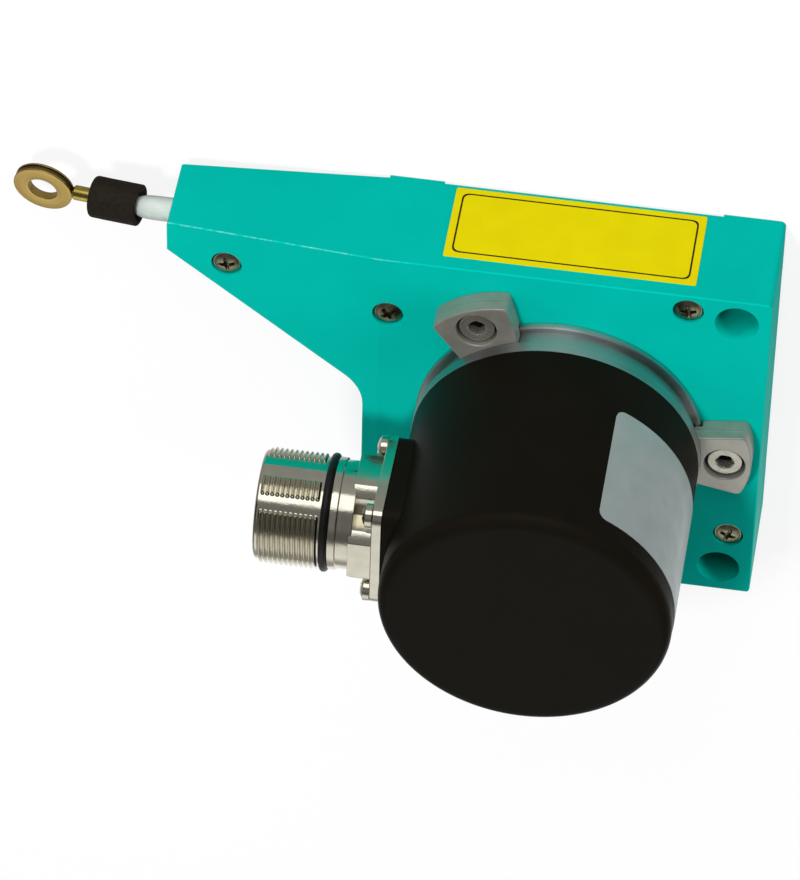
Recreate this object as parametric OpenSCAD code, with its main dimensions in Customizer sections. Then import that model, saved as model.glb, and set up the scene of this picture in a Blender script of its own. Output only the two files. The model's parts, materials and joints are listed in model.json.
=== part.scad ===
// Draw wire encoder: a flat moulded housing with a spring-loaded wire drum,
// a 58 mm shaft encoder held on its face by three servo clamps, and a round
// threaded connector on the side of the encoder.
// Millimetres. The drum and encoder axis is Z, the mounting plane is Z = 0,
// and the wire leaves the nose along +X.

/* [Wire and drum] */
// Wire drawn out by one turn of the drum
turn_travel = 230; // [224:1:232]
// Longest draw of the wire
draw_range = 2000; // [1000:50:2070]
// Diameter of the wire
wire_d = 0.8; // [0.6:0.1:0.9]
// Distance between neighbouring turns on the drum, as a share of the wire diameter
turn_pitch_share = 1.03; // [1.02:0.01:1.05]
// Height of each drum flange above the wound wire
flange_lip = 0.6; // [0.4:0.1:0.9]
// Thickness of each drum flange
flange_t = 1; // [0.8:0.1:1.2]
// Radial thickness of the drum rim under the wire
rim_wall = 3.2; // [2.4:0.1:4]
// Thickness of the drum web
web_t = 2; // [1.6:0.1:2.4]
// Radius of the drum hub
hub_r = 7; // [6.5:0.25:8]
// Radius of the six lightening holes in the drum web
web_hole_r = 5; // [3:0.25:6]

/* [Return spring] */
// Width of the spring ribbon
spring_w = 6; // [4.5:0.25:6.25]
// Thickness of the spring ribbon
spring_t = 0.3; // [0.2:0.05:0.5]
// Turns of the spring at rest
spring_turns = 9; // [6:1:11]
// Outer radius of the fixed arbor
arbor_r = 9; // [8.5:0.25:10]

/* [Housing] */
// Height of the front face above the mounting plane
housing_h = 24; // [23.9:0.1:25.5]
// Height of the corner pads on the back
pad_h = 0.6; // [0.4:0.1:0.8]
// Thickness of the back plate
plate_t = 2.5; // [2.2:0.1:2.7]
// Thickness of the front wall
front_wall = 3; // [2.6:0.1:3.2]
// Wall between the drum chamber and the label face
label_wall = 2.4; // [2:0.1:3.5]
// Wall between the drum chamber and the end face
end_wall = 2.4; // [2:0.1:3.5]
// Wall between the drum chamber and the side that the nose grows from
nose_side_wall = 1.9; // [1.8:0.1:3.5]
// Wall between the drum chamber and the rear face
rear_wall = 3.9; // [3:0.1:5]
// Wall of the nose
nose_wall = 2.2; // [1.8:0.1:2.4]
// Length of the nose beyond the side of the housing
nose_len = 40; // [38:0.5:50]
// Height of the nose at its tip
nose_tip_w = 7.3; // [7.1:0.1:8.5]
// Distance from the drum axis down to where the slope of the nose starts
nose_root_y = 4; // [2:0.5:6]
// Fillet where the slope of the nose meets the side
nose_fillet_r = 9; // [4:0.5:10]
// Place along X where the nose starts to get thinner
kink_x = 37; // [36:0.5:39]
// How much the nose loses on each face by its tip
nose_taper = 3.25; // [2.5:0.25:3.5]
// Rounding of the upright corners
corner_r = 1.2; // [0.8:0.1:2]
// Chamfer round the front face
edge_cut = 0.2; // [0.1:0.05:0.4]

/* [Housing screws and mounting holes] */
// Distance between the mounting holes along X
mount_dx = 67.5; // [67:0.5:68.5]
// Distance between the mounting holes along Y
mount_dy = 70; // [69.5:0.5:70.5]
// Offset of the mounting holes from the drum axis along Y
mount_offset = 0.5; // [0:0.25:0.75]
// Radius of the mounting holes
mount_r = 2.25; // [2.15:0.05:2.5]
// Radius of the counterbores over the mounting holes
mount_head_r = 4.35; // [4:0.05:4.5]
// Thickness left under the head of a mounting screw
mount_grip = 8; // [5:0.5:12]
// Radius of the housing screws
screw_r = 1.5; // [1.4:0.05:1.6]
// Radius of the housing screw heads
screw_head_r = 2.75; // [2.6:0.05:2.85]
// Height of the housing screw heads
screw_head_h = 2; // [1.8:0.1:2.2]
// Depth of the housing screw heads' seats below the face
screw_seat = 1.7; // [1.5:0.1:2]
// Radius of the bosses that the housing screws go into
boss_r = 2.9; // [2.6:0.1:3]
// Distance from the wall of the drum chamber to the four screws round it
screw_stand = 5.5; // [5.4:0.1:6]

/* [Wire nozzle and wire end] */
// Radius of the nozzle
nozzle_r = 2.45; // [2.3:0.05:2.5]
// Radius of the nozzle's tip
nozzle_tip_r = 1.75; // [1.6:0.05:2]
// Length of the nozzle outside the nose
nozzle_reach = 7.5; // [6:0.1:9]
// Length of the nozzle inside the nose
nozzle_depth = 9; // [7:0.5:10]
// Droop of the wire end below the nozzle's axis, in degrees
end_droop = 9.2; // [0:0.1:10]
// Sideways lean of the wire end, in degrees
end_yaw = 2.75; // [0:0.25:4]
// Turn of the eyelet about the wire, in degrees
eyelet_roll = 9; // [0:1:15]
// Radius of the rubber stop
stop_r = 4.5; // [4:0.1:5]
// Length of the rubber stop
stop_len = 10.5; // [9:0.1:13]
// Radius of the ferrule
ferrule_r = 1.5; // [1.3:0.1:1.8]
// Length of the ferrule outside the stop
ferrule_out = 4; // [3:0.1:4.5]
// Outer radius of the eyelet
eyelet_r = 6.1; // [5.6:0.1:7]
// Radius of the hole in the eyelet
eyelet_hole_r = 3; // [2.5:0.1:3.3]
// Thickness of the eyelet
eyelet_t = 1.8; // [1.6:0.1:2.4]

/* [Encoder] */
// Radius of the encoder
enc_r = 29; // [28.9:0.05:29.1]
// Length of the encoder above the housing face
enc_len = 54; // [53:0.5:60]
// Radius of the centring collar
collar_r = 25; // [24:0.25:25.25]
// Height of the centring collar
collar_h = 2.8; // [2.4:0.1:3]
// Thickness of the rim that the clamps hold
rim_t = 1.6; // [1.5:0.05:1.8]
// Width of the clamp groove
groove_t = 3.7; // [3.6:0.05:4]
// Radius at the bottom of the clamp groove
groove_r = 27.6; // [27.4:0.1:27.8]
// Thickness of the ring under the cover
ring_t = 2.7; // [2.4:0.1:3]
// Height of the spigot inside the cover
spigot_h = 4; // [3.6:0.1:4.4]
// Wall of the encoder cover
cover_wall = 1.5; // [1.2:0.1:1.8]
// Rounding of the cover's edge
cover_edge_r = 3; // [2:0.25:4]
// Radius of the encoder shaft and drum axle
shaft_r = 3; // [2.8:0.05:3.1]
// Radius of the code disc
disc_r = 20; // [18:0.5:20.5]
// Radius of the circuit boards
board_r = 26; // [25.5:0.1:26.3]
// Thickness of the circuit boards
board_t = 1.6; // [1.2:0.1:2]

/* [Servo clamps] */
// Distance from the encoder's rim to the clamp screws
clamp_reach = 4.75; // [4.65:0.05:5]
// Distance from the clamp screws to the outer edge of the clamps
clamp_edge = 5.35; // [5.1:0.05:5.6]
// Half the width of the clamps at their screw
clamp_half_w = 7.5; // [7.1:0.1:7.9]
// Angle by which each side of a clamp opens outwards
clamp_flare = 10; // [7:0.5:12]
// Radius of the outer edge of the clamps
clamp_edge_r = 19; // [17:0.5:24]
// Height of the clamps
clamp_h = 5.2; // [5:0.05:5.25]
// Radius of the clamp screws
clamp_screw_r = 2; // [1.9:0.05:2.1]
// Radius of the clamp screw heads
clamp_head_r = 3.5; // [3.3:0.05:3.6]
// Height of the clamp screw heads
clamp_head_h = 3; // [2.8:0.1:3.2]
// Outer radius of the threaded inserts
insert_r = 2.9; // [2.7:0.05:3]
// Length of the threaded inserts
insert_len = 4.6; // [4:0.1:4.8]

/* [Connector] */
// Turn of the connector about its own axis, in degrees
conn_turn = 3.5; // [0:0.5:5]
// Height of the connector's axis above the housing face
conn_z = 31; // [30.5:0.25:34]
// Radius of the threaded barrel
thread_r = 11.5; // [11:0.25:11.5]
// Length of the threaded barrel
thread_len = 13; // [11:0.5:15]
// Half of the width of the square flange
conn_half = 12.5; // [12.25:0.05:12.6]
// Thickness of the square flange
conn_flange_t = 2.2; // [2:0.1:3]
// Half of the width of the block in front of the flange
block_half = 11.1; // [10.6:0.1:11.4]
// Length of that block
block_len = 4.7; // [4:0.1:5.5]
// Radius of the neck in front of the block
neck_r = 10.8; // [10.4:0.1:10.9]
// Length of the neck
neck_len = 2.6; // [2:0.1:3.5]
// Length of the shoulder behind the sealing ring
shoulder_len = 1.6; // [1.2:0.1:2.4]
// Thickness of the sealing ring
seal_d = 1.6; // [1.4:0.1:1.8]
// Radius of the bore of the barrel
socket_r = 9.3; // [9:0.1:9.5]
// Depth of the socket in front of the contact insert
socket_depth = 11; // [10:0.5:12]
// Distance from the axis to the flange screws along Y and Z
conn_screw_at = 9.9; // [9.7:0.05:10]
// Radius of the twelve contact pins
pin_r = 0.5; // [0.4:0.05:0.6]
// Length of the pins in front of the contact insert
pin_len = 6; // [5:0.5:6.5]

/* [Hidden] */
$fn = 64;

// Clearances
fit_gap = 0.05;
thread_gap = 0.03;
rim_gap = 0.5;
run_gap = 0.4;
head_gap = 0.35;
swing_gap = 0.35;

// Drum, from the wire outwards
pitch_r = turn_travel / (2 * PI);
wire_r = wire_d / 2;
turn_pitch = wire_d * turn_pitch_share;
turns = ceil(draw_range / turn_travel);
winding_w = (turns + 0.3) * turn_pitch;
drum_r = pitch_r - wire_r - thread_gap;
flange_r = pitch_r + wire_r + flange_lip;
rim_in_r = drum_r - rim_wall;
chamber_r = flange_r + rim_gap;

// Heights inside the housing
plate_top = pad_h + plate_t;
drum_z = plate_top + 1.2;
wall_z = housing_h - front_wall;
insert_z = housing_h - insert_len - fit_gap;
insert_floor = 0.6;
boss_end_z = insert_z - insert_floor;
drum_top = boss_end_z - run_gap - 0.4;
winding_z = drum_top - flange_t - winding_w / 2;
spring_cover_t = 0.6;
spring_z = drum_z + spring_cover_t + 0.3;
web_z = spring_z + spring_w + 0.3;
hub_z = web_z - 0.2;
collar_z = housing_h - collar_h;
hub_top = collar_z - 0.7;
axle_len = 8.5;
arbor_top = spring_z + spring_w;
arbor_foot_r = 5;
arbor_foot_h = 1.1;
spring_in_r = arbor_r + 0.5;
spring_out_r = rim_in_r - 0.5;
bearing_w = 5;
drum_bearing_r = 6.5;
drum_bearing_z = plate_top + 1.6;
bearing_lip_r = shaft_r + 1.3;

// Outline of the housing
label_y = -(chamber_r + label_wall);
end_x = -(chamber_r + end_wall);
side_x = chamber_r + nose_side_wall;
rear_y = chamber_r + rear_wall;
tip_x = side_x + nose_len;
tip_y = label_y + nose_tip_w;
taper = nose_taper / (tip_x - kink_x);
slope_a = atan2(-nose_root_y - tip_y, tip_x - side_x);
nose_fillet_run = nose_fillet_r * tan((90 - slope_a) / 2);
pad_w = 12.4;
pad_d = 13;

// Wire, nozzle and wire end
wire_y = -pitch_r;
wire_z = winding_z;
nozzle_in_x = tip_x - nozzle_depth;
wire_way = 3;
nozzle_taper = 3.1;
pivot_x = tip_x + nozzle_reach - 2;
nozzle_bore_r = wire_r + 0.2;
stop_at = 1;
stop_end = stop_at + stop_len;
ferrule_in = 3.5;
ferrule_end = stop_end + ferrule_out;
loop_groove = wire_d * 1.1;
eyelet_at = ferrule_end + eyelet_r;

// Housing screws: four round the chamber and one in the nose
screw_circle_r = chamber_r + screw_stand;
nose_screw_back = 12.1;
nose_screw_up = 8.6;
nose_screw_x = tip_x - nose_screw_back;
nose_screw_y = label_y + nose_screw_up;
screw_at = concat([for (a = [-36.1, -123.5, 143.9, 56.5])
    [screw_circle_r * cos(a), screw_circle_r * sin(a)]], [[nose_screw_x, nose_screw_y]]);
boss_h = 3.9;
boss_top = plate_top + boss_h;
plate_lip = 1.1;
plate_step = 0.8;
column_r = boss_r + 0.2;
screw_tail = 2;

// Mounting holes: three corners have one, the fourth has only its pad
mount_x = mount_dx / 2;
mount_front_y = mount_offset - mount_dy / 2;
mount_rear_y = mount_offset + mount_dy / 2;
mount_at = [[-mount_x, mount_front_y], [-mount_x, mount_rear_y], [mount_x, mount_rear_y]];

// Encoder, from the housing face upwards
groove_z = housing_h + rim_t;
ring_z = groove_z + groove_t;
cover_z = ring_z + ring_t;
cover_top = housing_h + enc_len;
cover_in_r = enc_r - cover_wall;
flange_top = cover_z + spigot_h;
enc_bearing_r = 7.5;
enc_bearing_z = [collar_z + 1.5, collar_z + 8];
bearing_stack_top = enc_bearing_z[1] + bearing_w;
circlip_t = 0.8;
disc_hub_z = flange_top + 0.6;
disc_hub_h = 3.4;
disc_z = disc_hub_z + disc_hub_h;
disc_t = 0.8;
shaft_top = disc_z + disc_t + 1.2;
board_z = disc_z + disc_t + 3.2;
spacer_at = board_r - 2.6;
spacer_r = 1.8;
spacer_angles = [90, 210, 330];
conn_axis_z = housing_h + conn_z;
upper_board_z = conn_axis_z + socket_r + 2.4;
chip_w = 12;
chip_h = 1.6;
driver_w = 8;
cap_r = 1.6;
cap_h = 3;
header_w = 10;

// Clamps
clamp_circle_r = enc_r + clamp_reach;
clamp_angles = [180, 300, 60];
clamp_turns = [-1.5, -4.5, -3];
clamp_top = min(housing_h + clamp_h, ring_z - 0.1);
clamp_seat_z = clamp_top - clamp_head_h - 0.8;
clamp_lip_r = groove_r + 0.2;
clamp_round = 1.2;

// Connector, along X from the encoder outwards
saddle_x = enc_r + 0.5;
conn_flange_x = saddle_x + conn_flange_t;
block_x = conn_flange_x + block_len;
neck_x = block_x + neck_len;
shoulder_x = neck_x + shoulder_len;
seal_x = shoulder_x + seal_d + 0.1;
barrel_x = seal_x + thread_len;
seal_groove_r = thread_r - seal_d + 0.35;
spigot_r = neck_r - 0.2;
spigot_in_x = enc_r - cover_wall - 2;
insert_face_x = barrel_x - socket_depth;
conn_corner_r = 3.5;
lobe_long = 6.3;
lobe_short = 2.8;
notch_in = 4.7;
block_core_r = notch_in * sqrt(2) + 0.1;
conn_head_r = 2.45;
conn_head_h = 2;
conn_screw_len = 6;
socket_step = 3.6;
insert_rim = 3;
outer_pins_r = 5.9;
inner_pins_r = 2.3;

teal = "#00b5a3";
nickel = "#c9c5b4";
steel = "#b9bcbd";
brass = "#c39a45";

// Height of the back and front faces at a place along X
function back_z(x) = pad_h + max(0, x - kink_x) * taper;
function face_z(x) = housing_h - max(0, x - kink_x) * taper;

// A shape laid out along +X instead of +Z
module along_x() {
    rotate([0, 90, 0]) children();
}

// A ring of rectangular section
module ring(r_out, r_in, z, h) {
    translate([0, 0, z]) difference() {
        cylinder(r = r_out, h = h);
        translate([0, 0, -1]) cylinder(r = r_in, h = h + 2);
    }
}

// What is left outside a quarter circle, to round a corner at the origin
module corner_waste(r) {
    difference() {
        translate([-1, -1]) square(r + 1);
        translate([r, r]) circle(r);
    }
}

// ---- Housing ----

// Outline of the housing in plan
module housing_outline() {
    root = [side_x, -nose_root_y];
    difference() {
        union() {
            polygon([[end_x, label_y], [tip_x, label_y], [tip_x, tip_y], root,
                [side_x, rear_y], [end_x, rear_y]]);
            nose_fillet(root);
        }
        translate([end_x, label_y]) corner_waste(corner_r);
        translate([end_x, rear_y]) mirror([0, 1]) corner_waste(corner_r);
        translate([side_x, rear_y]) rotate(180) corner_waste(corner_r);
        translate([tip_x, label_y]) mirror([1, 0]) corner_waste(corner_r / 2);
    }
}

// Fillet in the hollow corner between the slope of the nose and the side
module nose_fillet(root) {
    centre = root + [nose_fillet_r, nose_fillet_run];
    difference() {
        polygon([root, root + [0, nose_fillet_run], centre,
            root + nose_fillet_run * [cos(slope_a), -sin(slope_a)]]);
        translate(centre) circle(nose_fillet_r);
    }
}

// Side view of the housing, which thins towards the tip of the nose
module housing_profile(low, high) {
    polygon([[end_x - 1, back_z(0) + low], [kink_x, back_z(0) + low],
        [tip_x + 1, back_z(tip_x + 1) + low], [tip_x + 1, face_z(tip_x + 1) + high],
        [kink_x, housing_h + high], [end_x - 1, housing_h + high]]);
}

// The side view pulled through the whole width
module profile_slab(low = 0, high = 0) {
    translate([0, rear_y + 1, 0]) rotate([90, 0, 0])
        linear_extrude(rear_y - label_y + 2) housing_profile(low, high);
}

// One chamfer along an edge, from point p to point q
module edge_chamfer(p, q, out) {
    d = q - p;
    len = norm(d);
    yaw = atan2(d[1], d[0]);
    pitch = -asin(d[2] / len);
    translate(p) rotate([0, pitch, yaw]) rotate([out * 45, 0, 0])
        translate([-2, -edge_cut * sqrt(0.5), -edge_cut * sqrt(0.5)])
            cube([len + 4, edge_cut * sqrt(2), edge_cut * sqrt(2)]);
}

// Chamfers round the front face
module face_chamfers() {
    tip_z = face_z(tip_x);
    edge_chamfer([end_x, label_y, housing_h], [end_x, rear_y, housing_h], 1);
    edge_chamfer([end_x, rear_y, housing_h], [side_x, rear_y, housing_h], 1);
    edge_chamfer([side_x, rear_y, face_z(side_x)],
        [side_x, nose_fillet_run - nose_root_y + 2 + edge_cut, face_z(side_x)], 1);
    edge_chamfer([end_x, label_y, housing_h], [kink_x, label_y, housing_h], 1);
    edge_chamfer([kink_x, label_y, housing_h], [tip_x, label_y, tip_z], 1);
}

module housing_body() {
    difference() {
        union() {
            intersection() {
                linear_extrude(housing_h + 1) housing_outline();
                profile_slab();
            }
            linear_extrude(pad_h + 0.4) difference() {
                pad_plan();
                plate_plan(fit_gap);
            }
        }
        face_chamfers();
    }
}

// Pads that the housing stands on, one in each corner of the back
module pad_plan() {
    intersection() {
        housing_outline();
        union() {
            translate([end_x, label_y]) square([pad_w, pad_d]);
            translate([end_x, rear_y - pad_d]) square([pad_w, pad_d]);
            translate([side_x - pad_w, rear_y - pad_d]) square([pad_w, pad_d]);
            translate([side_x - pad_w, label_y]) square([pad_w - 1.4, pad_d]);
        }
    }
}

// Plan of the inside of the nose, up to in_x and a wall's thickness from its faces
module nose_plan(wall, in_x) {
    drop = wall / cos(slope_a);
    y_at = function(x) -nose_root_y - (x - side_x) * tan(slope_a) - drop;
    polygon([[0, label_y + wall], [in_x, label_y + wall], [in_x, y_at(in_x)],
        [side_x - wall, y_at(side_x - wall)], [0, 0]]);
}

// Plan of the back plate: the chamber, ears out to its screws, and the nose
module plate_plan(grow = 0) {
    circle(chamber_r + plate_lip + grow);
    for (p = screw_at) {
        translate(p) circle(boss_r + grow);
        if (norm(p) < screw_circle_r + 1) rotate(atan2(p[1], p[0]))
            translate([0, -boss_r - grow]) square([screw_circle_r, 2 * (boss_r + grow)]);
    }
    nose_plan(nose_wall - plate_step - grow, nose_screw_x + grow);
}

// Slab of the back plate, which bends with the nose
module plate_slab(plan_grow, top) {
    intersection() {
        translate([0, 0, -1]) linear_extrude(plate_top + 6) plate_plan(plan_grow);
        difference() {
            profile_slab(-0.01, 0);
            profile_slab(plate_t + top, 1);
        }
    }
}

module plate_bosses(grow) {
    for (p = screw_at) translate([p[0], p[1], back_z(p[0]) + 1])
        cylinder(r = boss_r + grow, h = boss_top - back_z(p[0]) - 1 + grow);
}

// The drum chamber and the space in the nose
module chamber() {
    translate([0, 0, plate_top - 1]) cylinder(r = chamber_r, h = wall_z - plate_top + 1, $fn = 96);
    intersection() {
        translate([0, 0, 1]) linear_extrude(wall_z - 1) nose_plan(nose_wall, nozzle_in_x - wire_way);
        profile_slab(plate_t - 0.5, -front_wall);
    }
}

// Columns in the shell that the housing screws pull down
module screw_columns() {
    for (p = screw_at) translate([p[0], p[1], boss_top + fit_gap])
        cylinder(r = column_r, h = face_z(p[0]) - boss_top - 1);
}

module screw_holes() {
    for (p = screw_at) {
        translate([p[0], p[1], boss_top - 1]) cylinder(r = screw_r + 0.15, h = housing_h);
        translate([p[0], p[1], face_z(p[0]) - screw_seat])
            cylinder(r = screw_head_r + head_gap, h = screw_seat + 2);
    }
}

module mount_holes() {
    for (p = mount_at) translate([p[0], p[1], -1]) {
        cylinder(r = mount_r, h = housing_h + 2);
        translate([0, 0, mount_grip + 1]) cylinder(r = mount_head_r, h = housing_h);
    }
}

// Bosses under the front wall that hold the threaded inserts
module insert_bosses() {
    for (a = clamp_angles) rotate(a) translate([clamp_circle_r, 0, boss_end_z])
        cylinder(r = insert_r + 1.3, h = housing_h - boss_end_z - 1);
}

// Stiffening ribs under the front wall, between the pilot bore and the chamber wall
module face_ribs() {
    for (a = [0 : 30 : 330]) if (a % 60 != 0) rotate(a)
        translate([collar_r + 1.2, -0.6, wall_z - 1.2])
            cube([chamber_r - collar_r - 0.8, 1.2, 2]);
    ring(collar_r + 2.2, collar_r + fit_gap, wall_z - 1.2, 2);
}

module front_shell() {
    color(teal) difference() {
        union() {
            difference() {
                housing_body();
                chamber();
            }
            intersection() {
                union() {
                    insert_bosses();
                    face_ribs();
                    screw_columns();
                }
                cylinder(r = 200, h = housing_h - 1);
            }
        }
        plate_slab(fit_gap, fit_gap);
        plate_bosses(fit_gap);
        screw_holes();
        mount_holes();
        translate([0, 0, wall_z - 3]) cylinder(r = collar_r + fit_gap, h = front_wall + 4, $fn = 96);
        for (a = clamp_angles) rotate(a) translate([clamp_circle_r, 0, insert_z])
            cylinder(r = insert_r, h = insert_len + 1);
        nozzle_seat();
    }
}

// Bore for the nozzle, with a narrow way for the wire behind it
module nozzle_seat() {
    translate([nozzle_in_x, wire_y, wire_z]) along_x() {
        cylinder(r = nozzle_r, h = nozzle_depth + 2);
        translate([0, 0, -2 * wire_way]) cylinder(r = wire_d * 1.6, h = 2 * wire_way + 2);
    }
}

module back_plate() {
    color("#04a393") difference() {
        union() {
            plate_slab(0, 0);
            intersection() {
                plate_bosses(0);
                profile_slab(0.5, 0);
            }
            ring(arbor_r + 2, arbor_r + fit_gap, plate_top - 0.5, 1.3);
            linear_extrude(pad_h + 0.4) intersection() {
                pad_plan();
                plate_plan();
            }
        }
        for (p = screw_at) translate([p[0], p[1], back_z(p[0]) + screw_tail - 0.6])
            cylinder(r = screw_r + thread_gap, h = boss_top);
        translate([0, 0, plate_top - arbor_foot_h - fit_gap])
            cylinder(r = arbor_foot_r + fit_gap, h = plate_top);
    }
}

// Pan-head screw standing on its head's underside at z = 0
module pan_screw(r, head_r, head_h, len) {
    translate([0, 0, -len]) cylinder(r = r, h = len + 0.5);
    rotate_extrude() polygon([[0, 0], [head_r, 0], [head_r, head_h * 0.45],
        [head_r * 0.9, head_h * 0.75], [head_r * 0.6, head_h * 0.95], [0, head_h]]);
}

module housing_screws() {
    color(steel) for (p = screw_at) {
        seat_z = face_z(p[0]) - screw_seat;
        translate([p[0], p[1], seat_z])
            pan_screw(screw_r, screw_head_r, screw_head_h, seat_z - back_z(p[0]) - screw_tail);
    }
}

module clamp_inserts() {
    color(brass) for (a = clamp_angles) rotate(a) translate([clamp_circle_r, 0, 0])
        ring(insert_r, clamp_screw_r + thread_gap, insert_z, insert_len);
}

// ---- Nozzle ----

// Plastic nozzle that gets thinner towards its tip, with a flared mouth
module wire_nozzle() {
    end = tip_x + nozzle_reach - nozzle_in_x;
    color("#dfe4df") translate([nozzle_in_x, wire_y, wire_z]) along_x() difference() {
        rotate_extrude() polygon([[0, 0], [nozzle_r, 0], [nozzle_r, end - nozzle_taper],
            [nozzle_r - 0.12, end - nozzle_taper * 0.65], [nozzle_r - 0.36, end - nozzle_taper * 0.3],
            [nozzle_tip_r, end - 0.2], [nozzle_tip_r - 0.25, end], [0, end]]);
        translate([0, 0, -1]) cylinder(r = nozzle_bore_r, h = end + 2);
        translate([0, 0, end - 3]) cylinder(r1 = nozzle_bore_r, r2 = 1.15, h = 3.1);
        translate([0, 0, -0.01]) cylinder(r1 = 1.5, r2 = nozzle_bore_r, h = 1.5);
    }
}

// ---- Drum and spring ----

// Fixed arbor: a spigot in the back plate, the bearing's seat, and the spring's inner anchor
module spring_arbor() {
    color(steel) difference() {
        union() {
            translate([0, 0, plate_top]) cylinder(r = arbor_r, h = arbor_top - plate_top);
            translate([0, 0, plate_top - arbor_foot_h]) cylinder(r = arbor_foot_r, h = arbor_foot_h + 0.1);
        }
        translate([0, 0, drum_bearing_z]) cylinder(r = drum_bearing_r, h = arbor_top);
        translate([arbor_r - 1.2, -spring_t - 0.1, spring_z - 0.2]) cube([3, spring_t + 0.15, spring_w + 1]);
    }
}

// Radius of the spring ribbon's middle after an angle of a degrees
function ribbon_r(a) = spring_in_r + (spring_out_r - spring_in_r) * a / (360 * spring_turns);

// Flat spiral ribbon
module spiral_spring() {
    steps = spring_turns * 18;
    side = [for (i = [0 : steps]) i * 20];
    color("#8d9297") translate([0, 0, spring_z]) linear_extrude(spring_w) polygon(concat(
        [for (a = side) (ribbon_r(a) - spring_t / 2) * [cos(a), sin(a)]],
        [for (i = [steps : -1 : 0]) (ribbon_r(side[i]) + spring_t / 2) * [cos(side[i]), sin(side[i])]]));
}

// Bearing without its balls: the outer ring carries the two shields
module bearing_outer(r_out, z) {
    ring(r_out, r_out - 1, z, bearing_w);
    ring(r_out - 0.9, bearing_lip_r + 0.3, z + 0.3, 0.4);
    ring(r_out - 0.9, bearing_lip_r + 0.3, z + bearing_w - 0.7, 0.4);
}

module drum_bearing_outer() {
    color(steel) bearing_outer(drum_bearing_r, drum_bearing_z);
}

module drum_bearing_inner() {
    color(steel) ring(bearing_lip_r, shaft_r, drum_bearing_z, bearing_w);
}

module drum_axle() {
    color(steel) difference() {
        translate([0, 0, drum_bearing_z]) cylinder(r = shaft_r, h = axle_len);
        translate([0, 0, drum_bearing_z - 0.1]) cylinder(r = 0.8, h = 1.2);
    }
}

module wire_drum() {
    color("#d9dcdd") difference() {
        rotate_extrude($fn = 96) polygon([[shaft_r, hub_z], [hub_r, hub_z], [hub_r, web_z],
            [rim_in_r, web_z], [rim_in_r, drum_z + spring_cover_t + fit_gap],
            [rim_in_r + 1, drum_z + spring_cover_t + fit_gap], [rim_in_r + 1, drum_z],
            [drum_r - 0.4, drum_z], [drum_r - 0.4, winding_z - winding_w / 2 - flange_t],
            [flange_r, winding_z - winding_w / 2 - flange_t],
            [flange_r, winding_z - winding_w / 2], [drum_r, winding_z - winding_w / 2],
            [drum_r, winding_z + winding_w / 2], [flange_r, winding_z + winding_w / 2],
            [flange_r, drum_top], [rim_in_r, drum_top], [rim_in_r, web_z + web_t],
            [hub_r, web_z + web_t], [hub_r, hub_top], [shaft_r, hub_top]]);
        for (a = [0 : 60 : 300]) rotate(a) translate([(hub_r + rim_in_r) / 2, 0, web_z - 1])
            cylinder(r = web_hole_r, h = web_t + 2);
        translate([0, 0, (web_z + web_t + hub_top) / 2]) along_x()
            cylinder(r = screw_r + thread_gap, h = hub_r + 1);
        translate([rim_in_r - 1.2, -0.3, spring_z]) cube([1.8, 0.6, spring_w]);
    }
}

module spring_cover() {
    color("#2f3335") ring(rim_in_r + 1 - fit_gap, arbor_r + 2.6, drum_z, spring_cover_t);
}

// One ring for each turn of wire on the drum
module wound_wire() {
    color("#aeb2b4") for (i = [0 : turns - 1])
        translate([0, 0, winding_z + (i - (turns - 1) / 2) * turn_pitch])
            rotate_extrude($fn = 96) translate([pitch_r, 0]) circle(wire_r, $fn = 16);
}

module hub_set_screw() {
    color("#3a3d40") translate([shaft_r + fit_gap, 0, (web_z + web_t + hub_top) / 2]) along_x()
        difference() {
            cylinder(r = screw_r, h = hub_r - shaft_r - 0.6);
            translate([0, 0, hub_r - shaft_r - 2]) cylinder(r = 0.85, h = 3, $fn = 6);
        }
}

// ---- Encoder ----

module encoder_shaft() {
    low = drum_bearing_z + axle_len + 0.3;
    color(steel) translate([0, 0, low]) difference() {
        cylinder(r = shaft_r, h = shaft_top - low);
        translate([0, 0, bearing_stack_top + fit_gap - low])
            ring(shaft_r + 1, shaft_r - 0.4, 0, circlip_t);
    }
}

// Turned flange with the centring collar, clamp groove, spigot and bearing bore
module encoder_flange() {
    color("#c6cacc") difference() {
        rotate_extrude($fn = 96) polygon([[bearing_lip_r + 0.8, collar_z], [collar_r, collar_z],
            [collar_r, housing_h], [enc_r - 0.3, housing_h], [enc_r, housing_h + 0.3],
            [enc_r, groove_z - 0.3], [enc_r - 0.3, groove_z], [groove_r, groove_z],
            [groove_r, ring_z], [enc_r - 0.2, ring_z], [enc_r, ring_z + 0.2], [enc_r, cover_z],
            [cover_in_r - fit_gap, cover_z], [cover_in_r - fit_gap, cover_z + 1],
            [cover_in_r - 1.1, cover_z + 1], [cover_in_r - 1.1, cover_z + 2.6],
            [cover_in_r - fit_gap, cover_z + 2.6], [cover_in_r - fit_gap, flange_top],
            [enc_bearing_r, flange_top], [enc_bearing_r, enc_bearing_z[0]],
            [bearing_lip_r + 0.8, enc_bearing_z[0]]]);
        for (a = spacer_angles) rotate(a) translate([spacer_at, 0, flange_top - 5])
            cylinder(r = 1 + thread_gap, h = 6);
    }
}

module encoder_bearing_outers() {
    color(steel) for (z = enc_bearing_z) bearing_outer(enc_bearing_r, z);
}

module encoder_bearing_inners() {
    color(steel) for (z = enc_bearing_z) ring(bearing_lip_r, shaft_r, z, bearing_w);
}

// Open ring that keeps the bearings on the shaft
module bearing_circlip() {
    color("#3a3d40") translate([0, 0, bearing_stack_top + fit_gap]) difference() {
        ring(shaft_r + 1, shaft_r - 0.4, 0, circlip_t);
        translate([0, -1, -1]) cube([10, 2, 3]);
    }
}

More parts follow.
